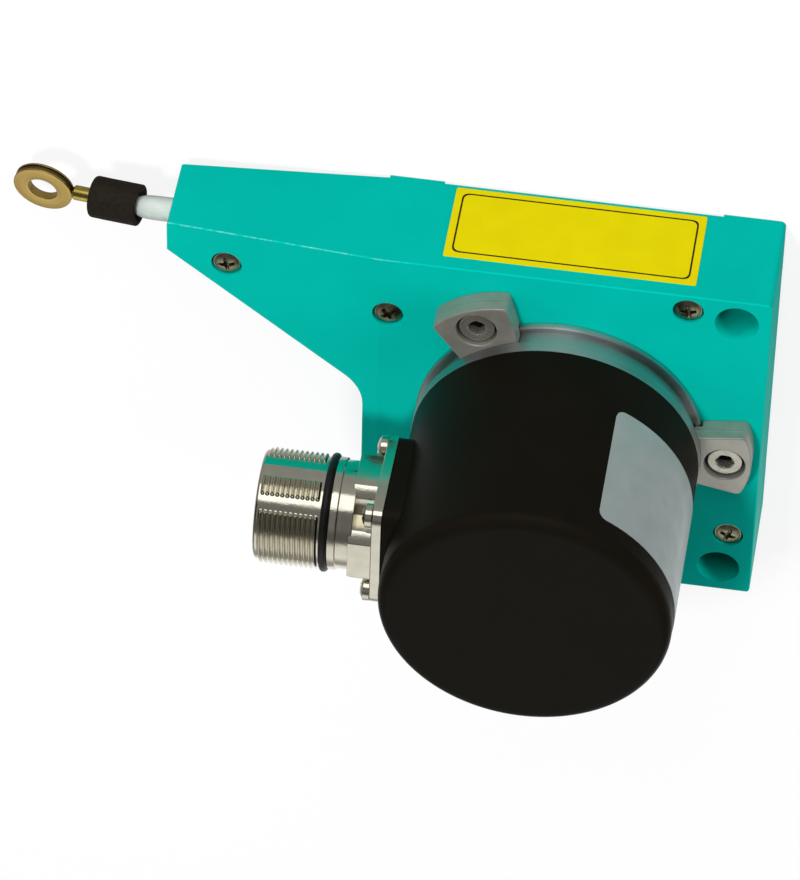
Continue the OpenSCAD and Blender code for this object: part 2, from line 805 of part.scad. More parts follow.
// Sealing ring between the spigot and the cover
module cover_seal() {
    color("#1b1b1b") translate([0, 0, cover_z + 1.8]) rotate_extrude($fn = 96)
        translate([cover_in_r - 0.6, 0]) circle(0.5, $fn = 16);
}

// Section of a cup: outer radius r, open at the bottom, top edge rounded by edge_r
module cup_section(r, low, top, edge_r) {
    square_h = top - low - edge_r;
    translate([0, low]) square([r, square_h]);
    translate([0, low]) square([r - edge_r, top - low]);
    intersection() {
        translate([r - edge_r, top - edge_r]) circle(edge_r);
        translate([0, low]) square([r, top - low]);
    }
}

module encoder_cover() {
    color("#141210") difference() {
        rotate_extrude($fn = 96) difference() {
            cup_section(enc_r - 0.1, cover_z, cover_top, cover_edge_r);
            cup_section(cover_in_r, cover_z - 1, cover_top - cover_wall, cover_edge_r - cover_wall + 0.5);
        }
        at_connector(spigot_in_x) {
            cylinder(r = spigot_r + fit_gap, h = 20);
            conn_screw_places() cylinder(r = screw_r + thread_gap, h = 20);
        }
    }
}

module disc_hub() {
    color("#c6cacc") {
        ring(shaft_r + 3.4, shaft_r, disc_hub_z, disc_hub_h);
        ring(shaft_r + 1.4, shaft_r, disc_hub_z + disc_hub_h - 0.1, disc_t + 0.9);
    }
}

module code_disc() {
    color("#9fc4cc") ring(disc_r, shaft_r + 1.4 + fit_gap, disc_z, disc_t);
}

// Light source under the rim of the code disc
module light_block() {
    color("#20242a") translate([-disc_r - 1, -3, flange_top]) cube([6, 6, 2.6]);
}

module sensor_board() {
    color("#1d6b3a") difference() {
        translate([0, 0, board_z]) cylinder(r = board_r, h = board_t);
        for (a = spacer_angles) rotate(a) translate([spacer_at, 0, board_z - 1])
            cylinder(r = 1 + fit_gap, h = 4);
        translate([spigot_in_x - 6, -5, board_z - 1]) cube([12, 10, 4]);
    }
}

module sensor_chip() {
    color("#101215") translate([-disc_r - 1, -4, board_z - 1.8]) cube([8, 8, 1.8]);
}

// Lower spacers stand on the flange, upper ones on the sensor board
module board_spacers() {
    color(brass) for (a = spacer_angles) rotate(a) translate([spacer_at, 0, 0]) {
        ring(spacer_r, 1 + fit_gap, flange_top, board_z - flange_top);
        ring(spacer_r, 1 + fit_gap, board_z + board_t, upper_board_z - board_z - board_t);
    }
}

module interface_board() {
    color("#1d6b3a") difference() {
        translate([0, 0, upper_board_z]) cylinder(r = board_r, h = board_t);
        for (a = spacer_angles) rotate(a) translate([spacer_at, 0, upper_board_z - 1])
            cylinder(r = 1 + fit_gap, h = 4);
    }
}

// Parts soldered on the upper board, and its wire header
module board_components() {
    color("#17191c") translate([0, 0, upper_board_z + board_t]) {
        translate([-chip_w - 2, -chip_w * 0.7, 0]) cube([chip_w, chip_w, chip_h]);
        translate([2, chip_w / 3, 0]) cube([driver_w, driver_w * 0.75, chip_h]);
        translate([-driver_w * 0.75, chip_w, 0]) cube([driver_w * 0.6, driver_w * 0.75, chip_h]);
        for (i = [0 : 2])
            translate([chip_w / 3 + i * 2.5 * cap_r, -chip_w, 0]) cylinder(r = cap_r, h = cap_h);
        translate([driver_w, -chip_w / 2, 0]) cube([header_w, header_w / 2, cap_h]);
    }
}

module board_screws() {
    color(steel) for (a = spacer_angles) rotate(a) translate([spacer_at, 0, upper_board_z + board_t])
        pan_screw(1, 1.8, 1.3, upper_board_z + board_t - flange_top + 4);
}

// ---- Servo clamps ----

// What is left outside the rounding of an outer corner on side s of a clamp, with the screw at
// the origin. The rounding touches the side and the outer edge, whose middle is at edge_x.
module clamp_corner_waste(s) {
    edge_x = clamp_edge - clamp_edge_r;
    reach = clamp_edge_r - clamp_round;
    side_w = clamp_half_w * cos(clamp_flare) + edge_x * sin(clamp_flare);
    turn = clamp_flare + asin((side_w - clamp_round) / reach);
    c = [edge_x + reach * cos(turn), s * reach * sin(turn)];
    side = 2 * clamp_round * [-sin(clamp_flare), s * cos(clamp_flare)];
    out = 2 * clamp_round * [cos(turn), s * sin(turn)];
    difference() {
        polygon([c, c + side, c + side + out, c + out]);
        translate(c) circle(clamp_round);
    }
}

// Plan of a clamp with its screw at the origin: two sides that open outwards and a curved outer edge
module clamp_outline() {
    tail = 9;
    tail_w = clamp_half_w - tail * tan(clamp_flare);
    head_w = clamp_half_w + tail * tan(clamp_flare);
    difference() {
        intersection() {
            translate([clamp_edge - clamp_edge_r, 0]) circle(clamp_edge_r, $fn = 96);
            polygon([[-tail, -tail_w], [tail, -head_w], [tail, head_w], [-tail, tail_w]]);
        }
        for (s = [-1, 1]) clamp_corner_waste(s);
    }
}

// A layer of a clamp from height z up to its top, outside the radius r_in of the encoder
module clamp_layer(r_in, z, turn) {
    translate([0, 0, z]) linear_extrude(clamp_top - z) difference() {
        translate([clamp_circle_r, 0]) rotate(turn) clamp_outline();
        circle(r_in, $fn = 96);
    }
}

// One clamp. Its lower layer stands on the housing and its upper layer reaches over the rim.
module clamp(i) {
    rotate(clamp_angles[i]) difference() {
        union() {
            clamp_layer(enc_r + 0.3, housing_h, clamp_turns[i]);
            clamp_layer(clamp_lip_r, groove_z + 0.05, clamp_turns[i]);
        }
        translate([clamp_circle_r, 0, housing_h - 1]) cylinder(r = clamp_screw_r + 0.15, h = clamp_h + 2);
        translate([clamp_circle_r, 0, clamp_seat_z]) cylinder(r = clamp_head_r + 0.6, h = clamp_h);
    }
}

module clamp_left() {
    color("#9a9b98") clamp(1);
}

module clamp_right() {
    color("#9a9b98") clamp(0);
}

module clamp_rear() {
    color("#9a9b98") clamp(2);
}

module clamp_screws() {
    color(steel) for (a = clamp_angles) rotate(a) translate([clamp_circle_r, 0, clamp_seat_z]) difference() {
        union() {
            cylinder(r = clamp_head_r, h = clamp_head_h);
            translate([0, 0, insert_z + 0.4 - clamp_seat_z])
                cylinder(r = clamp_screw_r, h = clamp_seat_z - insert_z);
        }
        translate([0, 0, clamp_head_h - 1.9]) cylinder(r = 1.85, h = 3, $fn = 6);
    }
}

// ---- Connector ----

// Puts its children at the four flange screws, in the connector's own axes
module conn_screw_places() {
    for (y = [-1, 1]) for (z = [-1, 1])
        translate([z * conn_screw_at, y * conn_screw_at, 0]) children();
}

// Puts its children on the connector's axis, turned with the connector
module at_connector(x) {
    translate([x, 0, conn_axis_z]) along_x() rotate(conn_turn) children();
}

// Section of the block: four lobes, with a wide notch at two of the gaps
// between them and a plain slot at the other two, so that each screw can be reached
module block_plan() {
    half = [[-block_half, -lobe_short], [-block_half, lobe_long], [-lobe_long, lobe_long],
        [-lobe_long, block_half], [lobe_short, block_half],
        [notch_in, block_half - notch_in + lobe_short], [notch_in, notch_in],
        [block_half - notch_in + lobe_short, notch_in]];
    polygon(concat(half, [for (p = half) -p]));
}

module conn_square(half, r) {
    difference() {
        square(2 * half, center = true);
        for (a = [0 : 90 : 270]) rotate(a) translate([-half, -half]) corner_waste(r);
    }
}

// Black saddle that turns the cover's round side into a flat seat
module connector_saddle() {
    color("#161412") difference() {
        at_connector(enc_r - 4) difference() {
            linear_extrude(saddle_x - enc_r + 4) conn_square(conn_half, conn_corner_r);
            translate([0, 0, -1]) cylinder(r = spigot_r + fit_gap, h = 12);
            conn_screw_places() translate([0, 0, -1]) cylinder(r = screw_r + fit_gap, h = 12);
        }
        translate([0, 0, cover_z]) cylinder(r = enc_r - 0.1 + fit_gap, h = enc_len, $fn = 96);
    }
}

// Turned and milled shell: square flange, block, neck, sealing groove and threaded barrel
module connector_shell() {
    color(nickel) at_connector(0) difference() {
        union() {
            translate([0, 0, saddle_x]) linear_extrude(conn_flange_t) conn_square(conn_half, conn_corner_r);
            translate([0, 0, conn_flange_x - 0.1]) linear_extrude(block_len + 0.1) block_plan();
            rotate_extrude($fn = 96) polygon([[0, spigot_in_x], [spigot_r, spigot_in_x],
                [spigot_r, saddle_x + 0.1], [block_core_r, saddle_x + 0.1],
                [block_core_r, block_x - 0.1], [neck_r, block_x - 0.1], [neck_r, neck_x],
                [thread_r - 0.3, neck_x], [thread_r - 0.3, shoulder_x],
                [seal_groove_r, shoulder_x], [seal_groove_r, seal_x], [thread_r - 0.3, seal_x],
                [thread_r, seal_x + 0.3], [thread_r, barrel_x - 0.8], [thread_r - 0.8, barrel_x],
                [0, barrel_x]]);
        }
        translate([0, 0, spigot_in_x - 1]) cylinder(r = socket_r - socket_step, h = barrel_x, $fn = 96);
        translate([0, 0, insert_face_x - insert_rim]) cylinder(r = socket_r, h = barrel_x, $fn = 96);
        translate([0, 0, saddle_x - 1]) conn_screw_places()
            cylinder(r = screw_r + 0.1, h = conn_flange_t + 2);
    }
}

module connector_seal() {
    color("#1b1b1b") at_connector((shoulder_x + seal_x) / 2)
        rotate_extrude($fn = 96) translate([seal_groove_r + seal_d / 2, 0]) circle(seal_d / 2, $fn = 24);
}

// Contact carrier with a coding rib in the socket
module contact_insert() {
    color("#23262a") at_connector(0) {
        translate([0, 0, spigot_in_x + 1])
            cylinder(r = socket_r - socket_step - fit_gap, h = insert_face_x - spigot_in_x - 1);
        translate([0, 0, insert_face_x - insert_rim + fit_gap])
            cylinder(r = socket_r - fit_gap, h = insert_rim - fit_gap);
    }
}

// Nine pins on the outer circle and three inside
module contact_pins() {
    color(brass) at_connector(insert_face_x) {
        for (i = [0 : 8]) rotate(i * 40) translate([outer_pins_r, 0, 0]) contact_pin();
        for (i = [0 : 2]) rotate(i * 120 + 20) translate([inner_pins_r, 0, 0]) contact_pin();
    }
}

module contact_pin() {
    cylinder(r = pin_r, h = pin_len - pin_r);
    translate([0, 0, pin_len - pin_r - 0.01]) cylinder(r1 = pin_r, r2 = pin_r * 0.5, h = pin_r);
}

module connector_screws() {
    color(nickel) at_connector(conn_flange_x) conn_screw_places()
        pan_screw(screw_r, conn_head_r, conn_head_h, conn_screw_len);
}

// ---- Wire ----

// Straight run from the drum to the nozzle's mouth
module wire_run() {
    color("#aeb2b4") translate([0, wire_y, wire_z]) along_x()
        cylinder(r = wire_r, h = pivot_x - 0.1, $fn = 24);
}

// Axes of the wire end: it starts at the middle of the nozzle's dome and droops a little
module at_wire_end() {
    translate([pivot_x, wire_y, wire_z]) rotate([0, end_droop, end_yaw]) children();
}

// Rubber stop with a hollow that the nozzle's tip goes into
module rubber_stop() {
    edge = 0.8;
    color("#2b2623") at_wire_end() along_x() difference() {
        rotate_extrude($fn = 64) polygon([[0, stop_at], [stop_r - edge, stop_at],
            [stop_r - edge * 0.3, stop_at + edge * 0.3], [stop_r, stop_at + edge],
            [stop_r, stop_end - edge], [stop_r - edge * 0.3, stop_end - edge * 0.3],
            [stop_r - edge, stop_end], [0, stop_end]]);
        sphere(r = nozzle_r + swing_gap);
        translate([0, 0, stop_at - 0.1]) cylinder(r1 = stop_r - edge - 0.1, r2 = nozzle_tip_r + 0.5, h = 1.2);
        cylinder(r = wire_r + 0.1, h = stop_end);
        translate([0, 0, stop_end - ferrule_in]) cylinder(r = ferrule_r + 0.02, h = ferrule_in + 1);
    }
}

module end_ferrule() {
    color(brass) at_wire_end() along_x() difference() {
        translate([0, 0, stop_end - ferrule_in])
            cylinder(r = ferrule_r, h = ferrule_in + ferrule_out - fit_gap);
        translate([0, 0, stop_end - ferrule_in - 1])
            cylinder(r = wire_r + 0.02, h = ferrule_in + ferrule_out + 2);
    }
}

// The wire's tail through the stop and ferrule, and its loop in the eyelet's groove
module wire_loop() {
    loop_r = eyelet_r - loop_groove + wire_r;
    color("#aeb2b4") at_wire_end() {
        along_x() translate([0, 0, 0.3]) cylinder(r = wire_r, h = eyelet_at - loop_r - 0.3, $fn = 24);
        translate([eyelet_at, 0, 0]) rotate([-eyelet_roll, 0, 0]) rotate_extrude($fn = 64)
            translate([loop_r, 0]) circle(wire_r, $fn = 16);
    }
}

module end_eyelet() {
    groove_half = wire_r + 0.05;
    color(brass) at_wire_end() translate([eyelet_at, 0, 0]) rotate([-eyelet_roll, 0, 0])
        difference() {
            translate([0, 0, -eyelet_t / 2]) ring(eyelet_r, eyelet_hole_r, 0, eyelet_t);
            ring(eyelet_r + 1, eyelet_r - loop_groove - 0.02, -groove_half, 2 * groove_half);
        }
}

front_shell();
back_plate();
housing_screws();
clamp_inserts();
wire_nozzle();
spring_arbor();
spiral_spring();
drum_bearing_outer();
drum_bearing_inner();
drum_axle();
wire_drum();
spring_cover();
wound_wire();
hub_set_screw();
encoder_shaft();
encoder_flange();
encoder_bearing_outers();
encoder_bearing_inners();
bearing_circlip();
cover_seal();
encoder_cover();
disc_hub();
code_disc();
light_block();
sensor_board();
sensor_chip();
board_spacers();
interface_board();
board_components();
board_screws();
clamp_left();
clamp_right();
clamp_rear();
clamp_screws();
connector_saddle();
connector_shell();
connector_seal();
contact_insert();
contact_pins();
connector_screws();
wire_run();
rubber_stop();
end_ferrule();
wire_loop();
end_eyelet();
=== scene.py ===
import json
import math

import bmesh
import bpy
import numpy as np
from mathutils import Matrix, Vector

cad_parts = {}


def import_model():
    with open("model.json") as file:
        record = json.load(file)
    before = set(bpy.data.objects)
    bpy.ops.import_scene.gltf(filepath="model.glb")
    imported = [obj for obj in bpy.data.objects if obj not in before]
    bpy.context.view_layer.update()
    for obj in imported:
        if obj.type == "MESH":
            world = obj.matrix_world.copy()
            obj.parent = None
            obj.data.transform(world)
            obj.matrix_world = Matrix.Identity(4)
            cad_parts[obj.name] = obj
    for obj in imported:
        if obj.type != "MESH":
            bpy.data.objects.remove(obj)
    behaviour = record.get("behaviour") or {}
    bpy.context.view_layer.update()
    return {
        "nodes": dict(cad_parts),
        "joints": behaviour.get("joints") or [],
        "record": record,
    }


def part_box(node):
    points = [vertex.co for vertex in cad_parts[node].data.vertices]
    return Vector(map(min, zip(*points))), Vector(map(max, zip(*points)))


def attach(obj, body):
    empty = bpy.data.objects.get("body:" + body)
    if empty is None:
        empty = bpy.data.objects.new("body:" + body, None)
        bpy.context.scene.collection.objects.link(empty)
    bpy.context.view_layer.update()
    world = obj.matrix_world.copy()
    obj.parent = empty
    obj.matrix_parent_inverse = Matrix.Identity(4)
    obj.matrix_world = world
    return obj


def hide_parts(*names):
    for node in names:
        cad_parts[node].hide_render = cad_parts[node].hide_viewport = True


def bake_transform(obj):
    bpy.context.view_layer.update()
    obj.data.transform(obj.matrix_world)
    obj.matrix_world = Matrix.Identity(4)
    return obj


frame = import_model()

# Lengths in this file are millimetres until a mesh or a lamp is made.
MM = 0.001
TURN = 2 * math.pi

MOUNTS = {m["name"]: m for m in frame["record"]["mounts"]}
JOINTS = {j["name"]: j for j in frame["joints"]}


def millimetres(point):
    """A point of the frame, in metres, as an array in millimetres."""
    return np.array(point, float) / MM


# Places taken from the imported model
PIVOT = millimetres(JOINTS["end_tilt"]["pos_m"])
EYELET = millimetres(MOUNTS["wire_eyelet"]["pos_m"])
EYELET_AXIS = np.array(MOUNTS["wire_eyelet"]["axis"], float)
EYELET_AXIS /= np.linalg.norm(EYELET_AXIS)
CONNECTOR_Z = MOUNTS["connector_thread"]["pos_m"][2] / MM
LABEL_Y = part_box("front_shell")[0].y / MM
FACE_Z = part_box("front_shell")[1].z / MM
CLAMP_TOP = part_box("clamp_right")[1].z / MM
BARREL_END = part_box("connector_shell")[1].x / MM
SADDLE_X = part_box("connector_saddle")[1].x / MM
NOZZLE_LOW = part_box("wire_nozzle")[0].x / MM
NOZZLE_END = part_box("wire_nozzle")[1].x / MM

# Sizes of the pieces, as in the part's source
ENCODER_R = 29.0
CLAMP_CIRCLE = 33.75
CLAMP_ANGLES = (180, 300, 60)
CLAMP_MIDDLE = 26.9
SCREW_CIRCLE = 43.6056
SCREW_ANGLES = (-36.1, -123.5, 143.9, 56.5)
NOSE_SCREW = (67.9056, -31.9056)
NOSE_START = 37.0
NOSE_SLOPE = 3.25 / (80.0056 - 37.0)
SCREW_SEAT = 1.7
WIRE_R = 0.4


# ---- Node materials ----

def linear(colour):
    """sRGB hex colour to the linear RGBA that a shader takes."""
    part = np.array([int(colour[i:i + 2], 16) for i in (1, 3, 5)]) / 255
    part = np.where(part <= 0.04045, part / 12.92, ((part + 0.055) / 1.055) ** 2.4)
    return (*part.tolist(), 1.0)


def add(tree, kind, inputs=None, **settings):
    """Adds one node. inputs gives its sockets values or other nodes' outputs, settings its properties."""
    new = tree.nodes.new("ShaderNode" + kind)
    for key, value in settings.items():
        setattr(new, key, value)
    for key, value in (inputs or {}).items():
        if isinstance(value, bpy.types.NodeSocket):
            tree.links.new(value, new.inputs[key])
        else:
            new.inputs[key].default_value = value
    return new


def start(name, base, **sockets):
    """A new material with its output, shader and object coordinates: (material, tree, shader, place)."""
    material = bpy.data.materials.new(name)
    material.use_nodes = True
    tree = material.node_tree
    tree.nodes.clear()
    shader = add(tree, "BsdfPrincipled", {"Base Color": linear(base), **sockets})
    add(tree, "OutputMaterial", {"Surface": shader.outputs["BSDF"]})
    place = add(tree, "TexCoord").outputs["Object"]
    material.diffuse_color = linear(base)
    return material, tree, shader, place


def sums(tree, operation, first, second=0.0):
    """One step of arithmetic on numbers or outputs."""
    return add(tree, "Math", {0: first, 1: second}, operation=operation).outputs[0]


def noise(tree, place, size, detail=2.0, rough=0.5):
    """Cloudy pattern whose patches are about size mm across, from 0 to 1."""
    return add(tree, "TexNoise", {"Vector": place, "Scale": 1 / (size * MM), "Detail": detail,
                                  "Roughness": rough}).outputs["Fac"]


def between(tree, factor, low, high, start_at=0.3, end_at=0.7):
    """A number that runs from low to high as factor runs from start_at to end_at."""
    return add(tree, "MapRange", {"Value": factor, "From Min": start_at, "From Max": end_at,
                                  "To Min": low, "To Max": high}).outputs["Result"]


def blend_colours(tree, factor, first, second):
    """Colour mixed from first to second by factor."""
    mix = add(tree, "Mix", data_type="RGBA")
    for socket, value in ((0, factor), (6, first), (7, second)):
        if isinstance(value, bpy.types.NodeSocket):
            tree.links.new(value, mix.inputs[socket])
        else:
            mix.inputs[socket].default_value = linear(value) if isinstance(value, str) else value
    return mix.outputs[2]


def relief(tree, shader, layers):
    """Bumps, one on another: layers are (height pattern, depth in mm)."""
    normal = None
    for height, depth in layers:
        inputs = {"Height": height, "Strength": 1.0, "Distance": depth * MM}
        if normal is not None:
            inputs["Normal"] = normal
        normal = add(tree, "Bump", inputs).outputs["Normal"]
    tree.links.new(normal, shader.inputs["Normal"])


def cast_or_moulded(name, base, tint, patch, rough, grain, **sockets):
    """A surface without direction: colour drifts from base to tint in patches of patch mm,
    roughness lies between two values, and grain lists (size, depth) of its bumps in mm."""
    material, tree, shader, place = start(name, base, **sockets)
    cloud = noise(tree, place, patch, 4.0)
    colour = blend_colours(tree, between(tree, cloud, 0, 1), base, tint)
    tree.links.new(colour, shader.inputs["Base Color"])
    tree.links.new(between(tree, cloud, *rough), shader.inputs["Roughness"])
    relief(tree, shader, [(noise(tree, place, size), depth) for size, depth in grain])
    return material


def turned(name, base, tint, rough, centre, axis, pitch, depth, streak, **sockets):
    """A lathe-turned metal: fine rings about an axis through centre, pitch mm apart and depth mm deep.
    Radius and height about the axis go to a noise that does not change along the ring. The rings
    stretch a highlight across themselves by streak."""
    material, tree, shader, place = start(name, base, **{"Metallic": 1.0, "Anisotropic": streak,
                                                         "Anisotropic Rotation": 0.25, **sockets})
    turn = Vector(axis).rotation_difference(Vector((0, 0, 1))).to_euler()
    back = Vector((0, 0, 1)).rotation_difference(Vector(axis)).to_euler()
    shifted = add(tree, "VectorMath", {0: place, 1: tuple(-np.array(centre) * MM)}, operation="ADD")
    local = add(tree, "VectorRotate", {"Vector": shifted.outputs[0], "Rotation": turn},
                rotation_type="EULER_XYZ")
    xyz = add(tree, "SeparateXYZ", {0: local.outputs[0]})
    flat = add(tree, "CombineXYZ", {"X": xyz.outputs["X"], "Y": xyz.outputs["Y"]})
    radius = add(tree, "VectorMath", {0: flat.outputs[0]}, operation="LENGTH").outputs["Value"]
    ring = add(tree, "CombineXYZ", {"X": radius, "Y": xyz.outputs["Z"]}).outputs[0]
    rings = noise(tree, ring, pitch, 3.0, 0.6)
    cloud = noise(tree, place, 6.0, 3.0)
    along = add(tree, "CombineXYZ", {"X": sums(tree, "MULTIPLY", xyz.outputs["Y"], -1.0),
                                     "Y": xyz.outputs["X"]})
    along = add(tree, "VectorRotate", {"Vector": along.outputs[0], "Rotation": back},
                rotation_type="EULER_XYZ")
    along = add(tree, "VectorTransform", {0: along.outputs[0]}, vector_type="VECTOR",
                convert_from="OBJECT", convert_to="WORLD")
    tree.links.new(along.outputs[0], shader.inputs["Tangent"])
    colour = blend_colours(tree, between(tree, rings, 0, 1), base, tint)
    tree.links.new(colour, shader.inputs["Base Color"])
    tree.links.new(between(tree, cloud, *rough), shader.inputs["Roughness"])
    relief(tree, shader, [(rings, depth)])
    return material


def plain(name, base, rough, metallic=0.0, patch=4.0, **sockets):
    """A quiet finish for small and inner pieces: a slight drift in roughness and a fine grain."""
    return cast_or_moulded(name, base, base, patch, (rough * 0.85, rough * 1.15), [(0.4, 0.004)],
                           Metallic=metallic, **sockets)


def moulded_housing(name, base, tint):
    """Glass-filled nylon from a spark-eroded mould: satin, with a fine even grain, and scuffed pale in
    short dashes along the edge between the label face and the nose."""
    material, tree, shader, place = start(name, base, **{"Specular IOR Level": 0.03})
    cloud = noise(tree, place, 22.0, 4.0)
    colour = blend_colours(tree, between(tree, cloud, 0, 1), base, tint)
    x, y, z = add(tree, "SeparateXYZ", {0: place}).outputs
    past_start = sums(tree, "MAXIMUM", sums(tree, "SUBTRACT", x, NOSE_START * MM))
    fall = sums(tree, "MULTIPLY", past_start, NOSE_SLOPE)
    lifted = sums(tree, "ADD", z, fall)
    off_face = sums(tree, "ABSOLUTE", sums(tree, "SUBTRACT", lifted, FACE_Z * MM))
    off_label = sums(tree, "ABSOLUTE", sums(tree, "SUBTRACT", y, LABEL_Y * MM))
    near = between(tree, sums(tree, "MAXIMUM", off_face, off_label), 1.0, 0.0, 0.08 * MM, 0.22 * MM)
    near = sums(tree, "MULTIPLY", near, between(tree, x, 0.0, 1.0, 30 * MM, 42 * MM))
    dashes = between(tree, noise(tree, place, 2.4, 4.0, 0.7), 0.0, 1.0, 0.44, 0.66)
    worn = sums(tree, "MULTIPLY", sums(tree, "MULTIPLY", near, dashes), 0.45)
    colour = blend_colours(tree, worn, colour, "#D9F2EC")
    tree.links.new(colour, shader.inputs["Base Color"])
    tree.links.new(between(tree, cloud, 0.42, 0.52), shader.inputs["Roughness"])
    relief(tree, shader, [(noise(tree, place, 0.35), 0.012), (noise(tree, place, 9.0), 0.02)])
    return material


def cast_clamp(name, base, tint):
    """Stainless investment casting, tumbled: brown-grey and dull on top, with a fine line at half
    height where the halves of the wax pattern met."""
    material, tree, shader, place = start(name, base, Metallic=0.6)
    cloud = noise(tree, place, 3.0, 4.0)
    colour = blend_colours(tree, between(tree, cloud, 0, 1), base, tint)
    tree.links.new(colour, shader.inputs["Base Color"])
    tree.links.new(between(tree, cloud, 0.28, 0.36), shader.inputs["Roughness"])
    z = add(tree, "SeparateXYZ", {0: place}).outputs["Z"]
    off = sums(tree, "ABSOLUTE", sums(tree, "SUBTRACT", z, CLAMP_MIDDLE * MM))
    line = between(tree, off, 1.0, 0.0, 0.02 * MM, 0.22 * MM)
    relief(tree, shader, [(noise(tree, place, 0.3), 0.012), (noise(tree, place, 1.4), 0.015),
                          (line, 0.05)])
    return material


# Glass-filled nylon of the housing
TEAL_NYLON = moulded_housing("teal_moulded_nylon", "#00BBAC", "#00B3A4")
# Black baked paint on a drawn aluminium cup: deep brown-black, faintly mottled, low gloss
BLACK_PAINT = cast_or_moulded("black_baked_paint", "#110F0A", "#15120D", 14.0, (0.36, 0.46),
                              [(0.5, 0.006), (5.0, 0.012)], **{"Specular IOR Level": 0.04})
# Tumbled stainless casting of the clamps
CLAMP_CASTING = cast_clamp("tumbled_stainless_casting", "#9B9A91", "#A7A69C")
# Nickel plate over a zinc casting: warm mirror that shows the casting's skin
NICKEL_PLATE = cast_or_moulded("nickel_plated_zinc", "#D9D5C4", "#CFCAB8", 3.0, (0.1, 0.17),
                               [(0.3, 0.009), (1.6, 0.02)], Metallic=1.0)
# Moulded rubber of the stop: brown-black, matt, with dusty specks
STOP_RUBBER = cast_or_moulded("moulded_rubber", "#17140F", "#241F19", 0.8, (0.6, 0.8),
                              [(0.25, 0.03), (1.5, 0.06)], **{"Specular IOR Level": 0.18})
# Nitrile sealing ring: black and slightly shiny
SEAL_RUBBER = cast_or_moulded("nitrile_ring", "#0F0F0E", "#161615", 2.0, (0.35, 0.5), [(0.3, 0.008)],
                              **{"Specular IOR Level": 0.25})
# Natural nylon of the nozzle: milky, light passes a little way in
NATURAL_NYLON = cast_or_moulded("natural_nylon", "#CDD5D0", "#C3CBC5", 2.0, (0.3, 0.42), [(0.6, 0.01)],
                                **{"Subsurface Weight": 0.35, "Subsurface Scale": 0.0012,
                                   "Subsurface Radius": (1.0, 1.0, 0.9), "Specular IOR Level": 0.3})
# Yellow vinyl film, laminated: smooth with a faint ripple
YELLOW_FILM = cast_or_moulded("yellow_vinyl_film", "#E6D800", "#E0D000", 8.0, (0.32, 0.42), [(6.0, 0.01)],
                              **{"Specular IOR Level": 0.12})
# Black ink printed on that film
PRINTED_INK = plain("black_printing_ink", "#2A2410", 0.45, **{"Specular IOR Level": 0.12})
# Silver polyester film of the type plate: pale grey, slight metallic sheen
SILVER_FILM = cast_or_moulded("silver_polyester_film", "#A4AFAE", "#9DA8A6", 5.0, (0.34, 0.44),
                              [(4.0, 0.008)], Metallic=0.35)
# Yellow-passivated zinc on the housing screws
ZINC_STEEL = cast_or_moulded("passivated_zinc_steel", "#A3A085", "#858169", 0.8, (0.24, 0.4),
                             [(0.25, 0.01)], Metallic=1.0)
# Bright stainless of the cap screws
STAINLESS = cast_or_moulded("bright_stainless", "#C2BFB0", "#B2AEA0", 0.9, (0.2, 0.32), [(0.3, 0.006)],
                            Metallic=0.8)
# Near-black slab at the bottom of a hexagon socket: painted shade of the deep socket
SOCKET_SHADE = plain("socket_painted_shade", "#0B0A08", 0.6, **{"Specular IOR Level": 0.1})
# Turned aluminium flange with a fine tool spiral
TURNED_ALUMINIUM = turned("turned_aluminium", "#C9CDCC", "#B6BBBB", (0.3, 0.4), (0, 0, 0), (0, 0, 1),
                          0.35, 0.004, 0.93)
# Turned brass of the eyelet, with rings about its axis
TURNED_BRASS = turned("turned_brass", "#D2B46A", "#C2A258", (0.2, 0.32), EYELET, EYELET_AXIS, 0.25,
                      0.003, 0.4)
# Drawn brass of the ferrule, inserts, spacers and pins
DRAWN_BRASS = cast_or_moulded("drawn_brass", "#D2BC62", "#C3AA50", 0.9, (0.2, 0.32), [(0.4, 0.008)],
                              Metallic=1.0)
# Stainless strand of the measuring wire
WIRE_STEEL = cast_or_moulded("stranded_stainless", "#9FA3A5", "#7F8486", 0.5, (0.25, 0.4), [(0.2, 0.02)],
                             Metallic=1.0)
# The same strand where it lies in the eyelet's groove, coloured dark brown: painted shade of the deep groove and
# painted reflection of the brass round it
SHADED_GROOVE_WIRE = plain("loop_strand_painted_shade", "#5A4A2C", 0.5, 0.7)
# Ground bearing steel
GROUND_STEEL = plain("ground_bearing_steel", "#B6BABC", 0.18, 1.0)
# Blued spring ribbon
SPRING_STEEL = plain("blued_spring_ribbon", "#5B6168", 0.3, 1.0)
# Blackened steel
BLACK_STEEL = plain("blackened_steel", "#26282B", 0.4, 0.9)
# Turned drum alloy
DRUM_ALLOY = plain("turned_drum_alloy", "#C4C8CA", 0.28, 1.0)
# Black moulded plastics inside
BLACK_MOULDING = plain("black_moulding", "#1D1F22", 0.5)
# Fibreglass board under green solder resist
BOARD_RESIST = plain("green_solder_resist", "#1A6B3C", 0.3)
# Clear code disc
DISC_GLASS = plain("clear_code_disc", "#B9D6DC", 0.08, **{"Transmission Weight": 0.8})

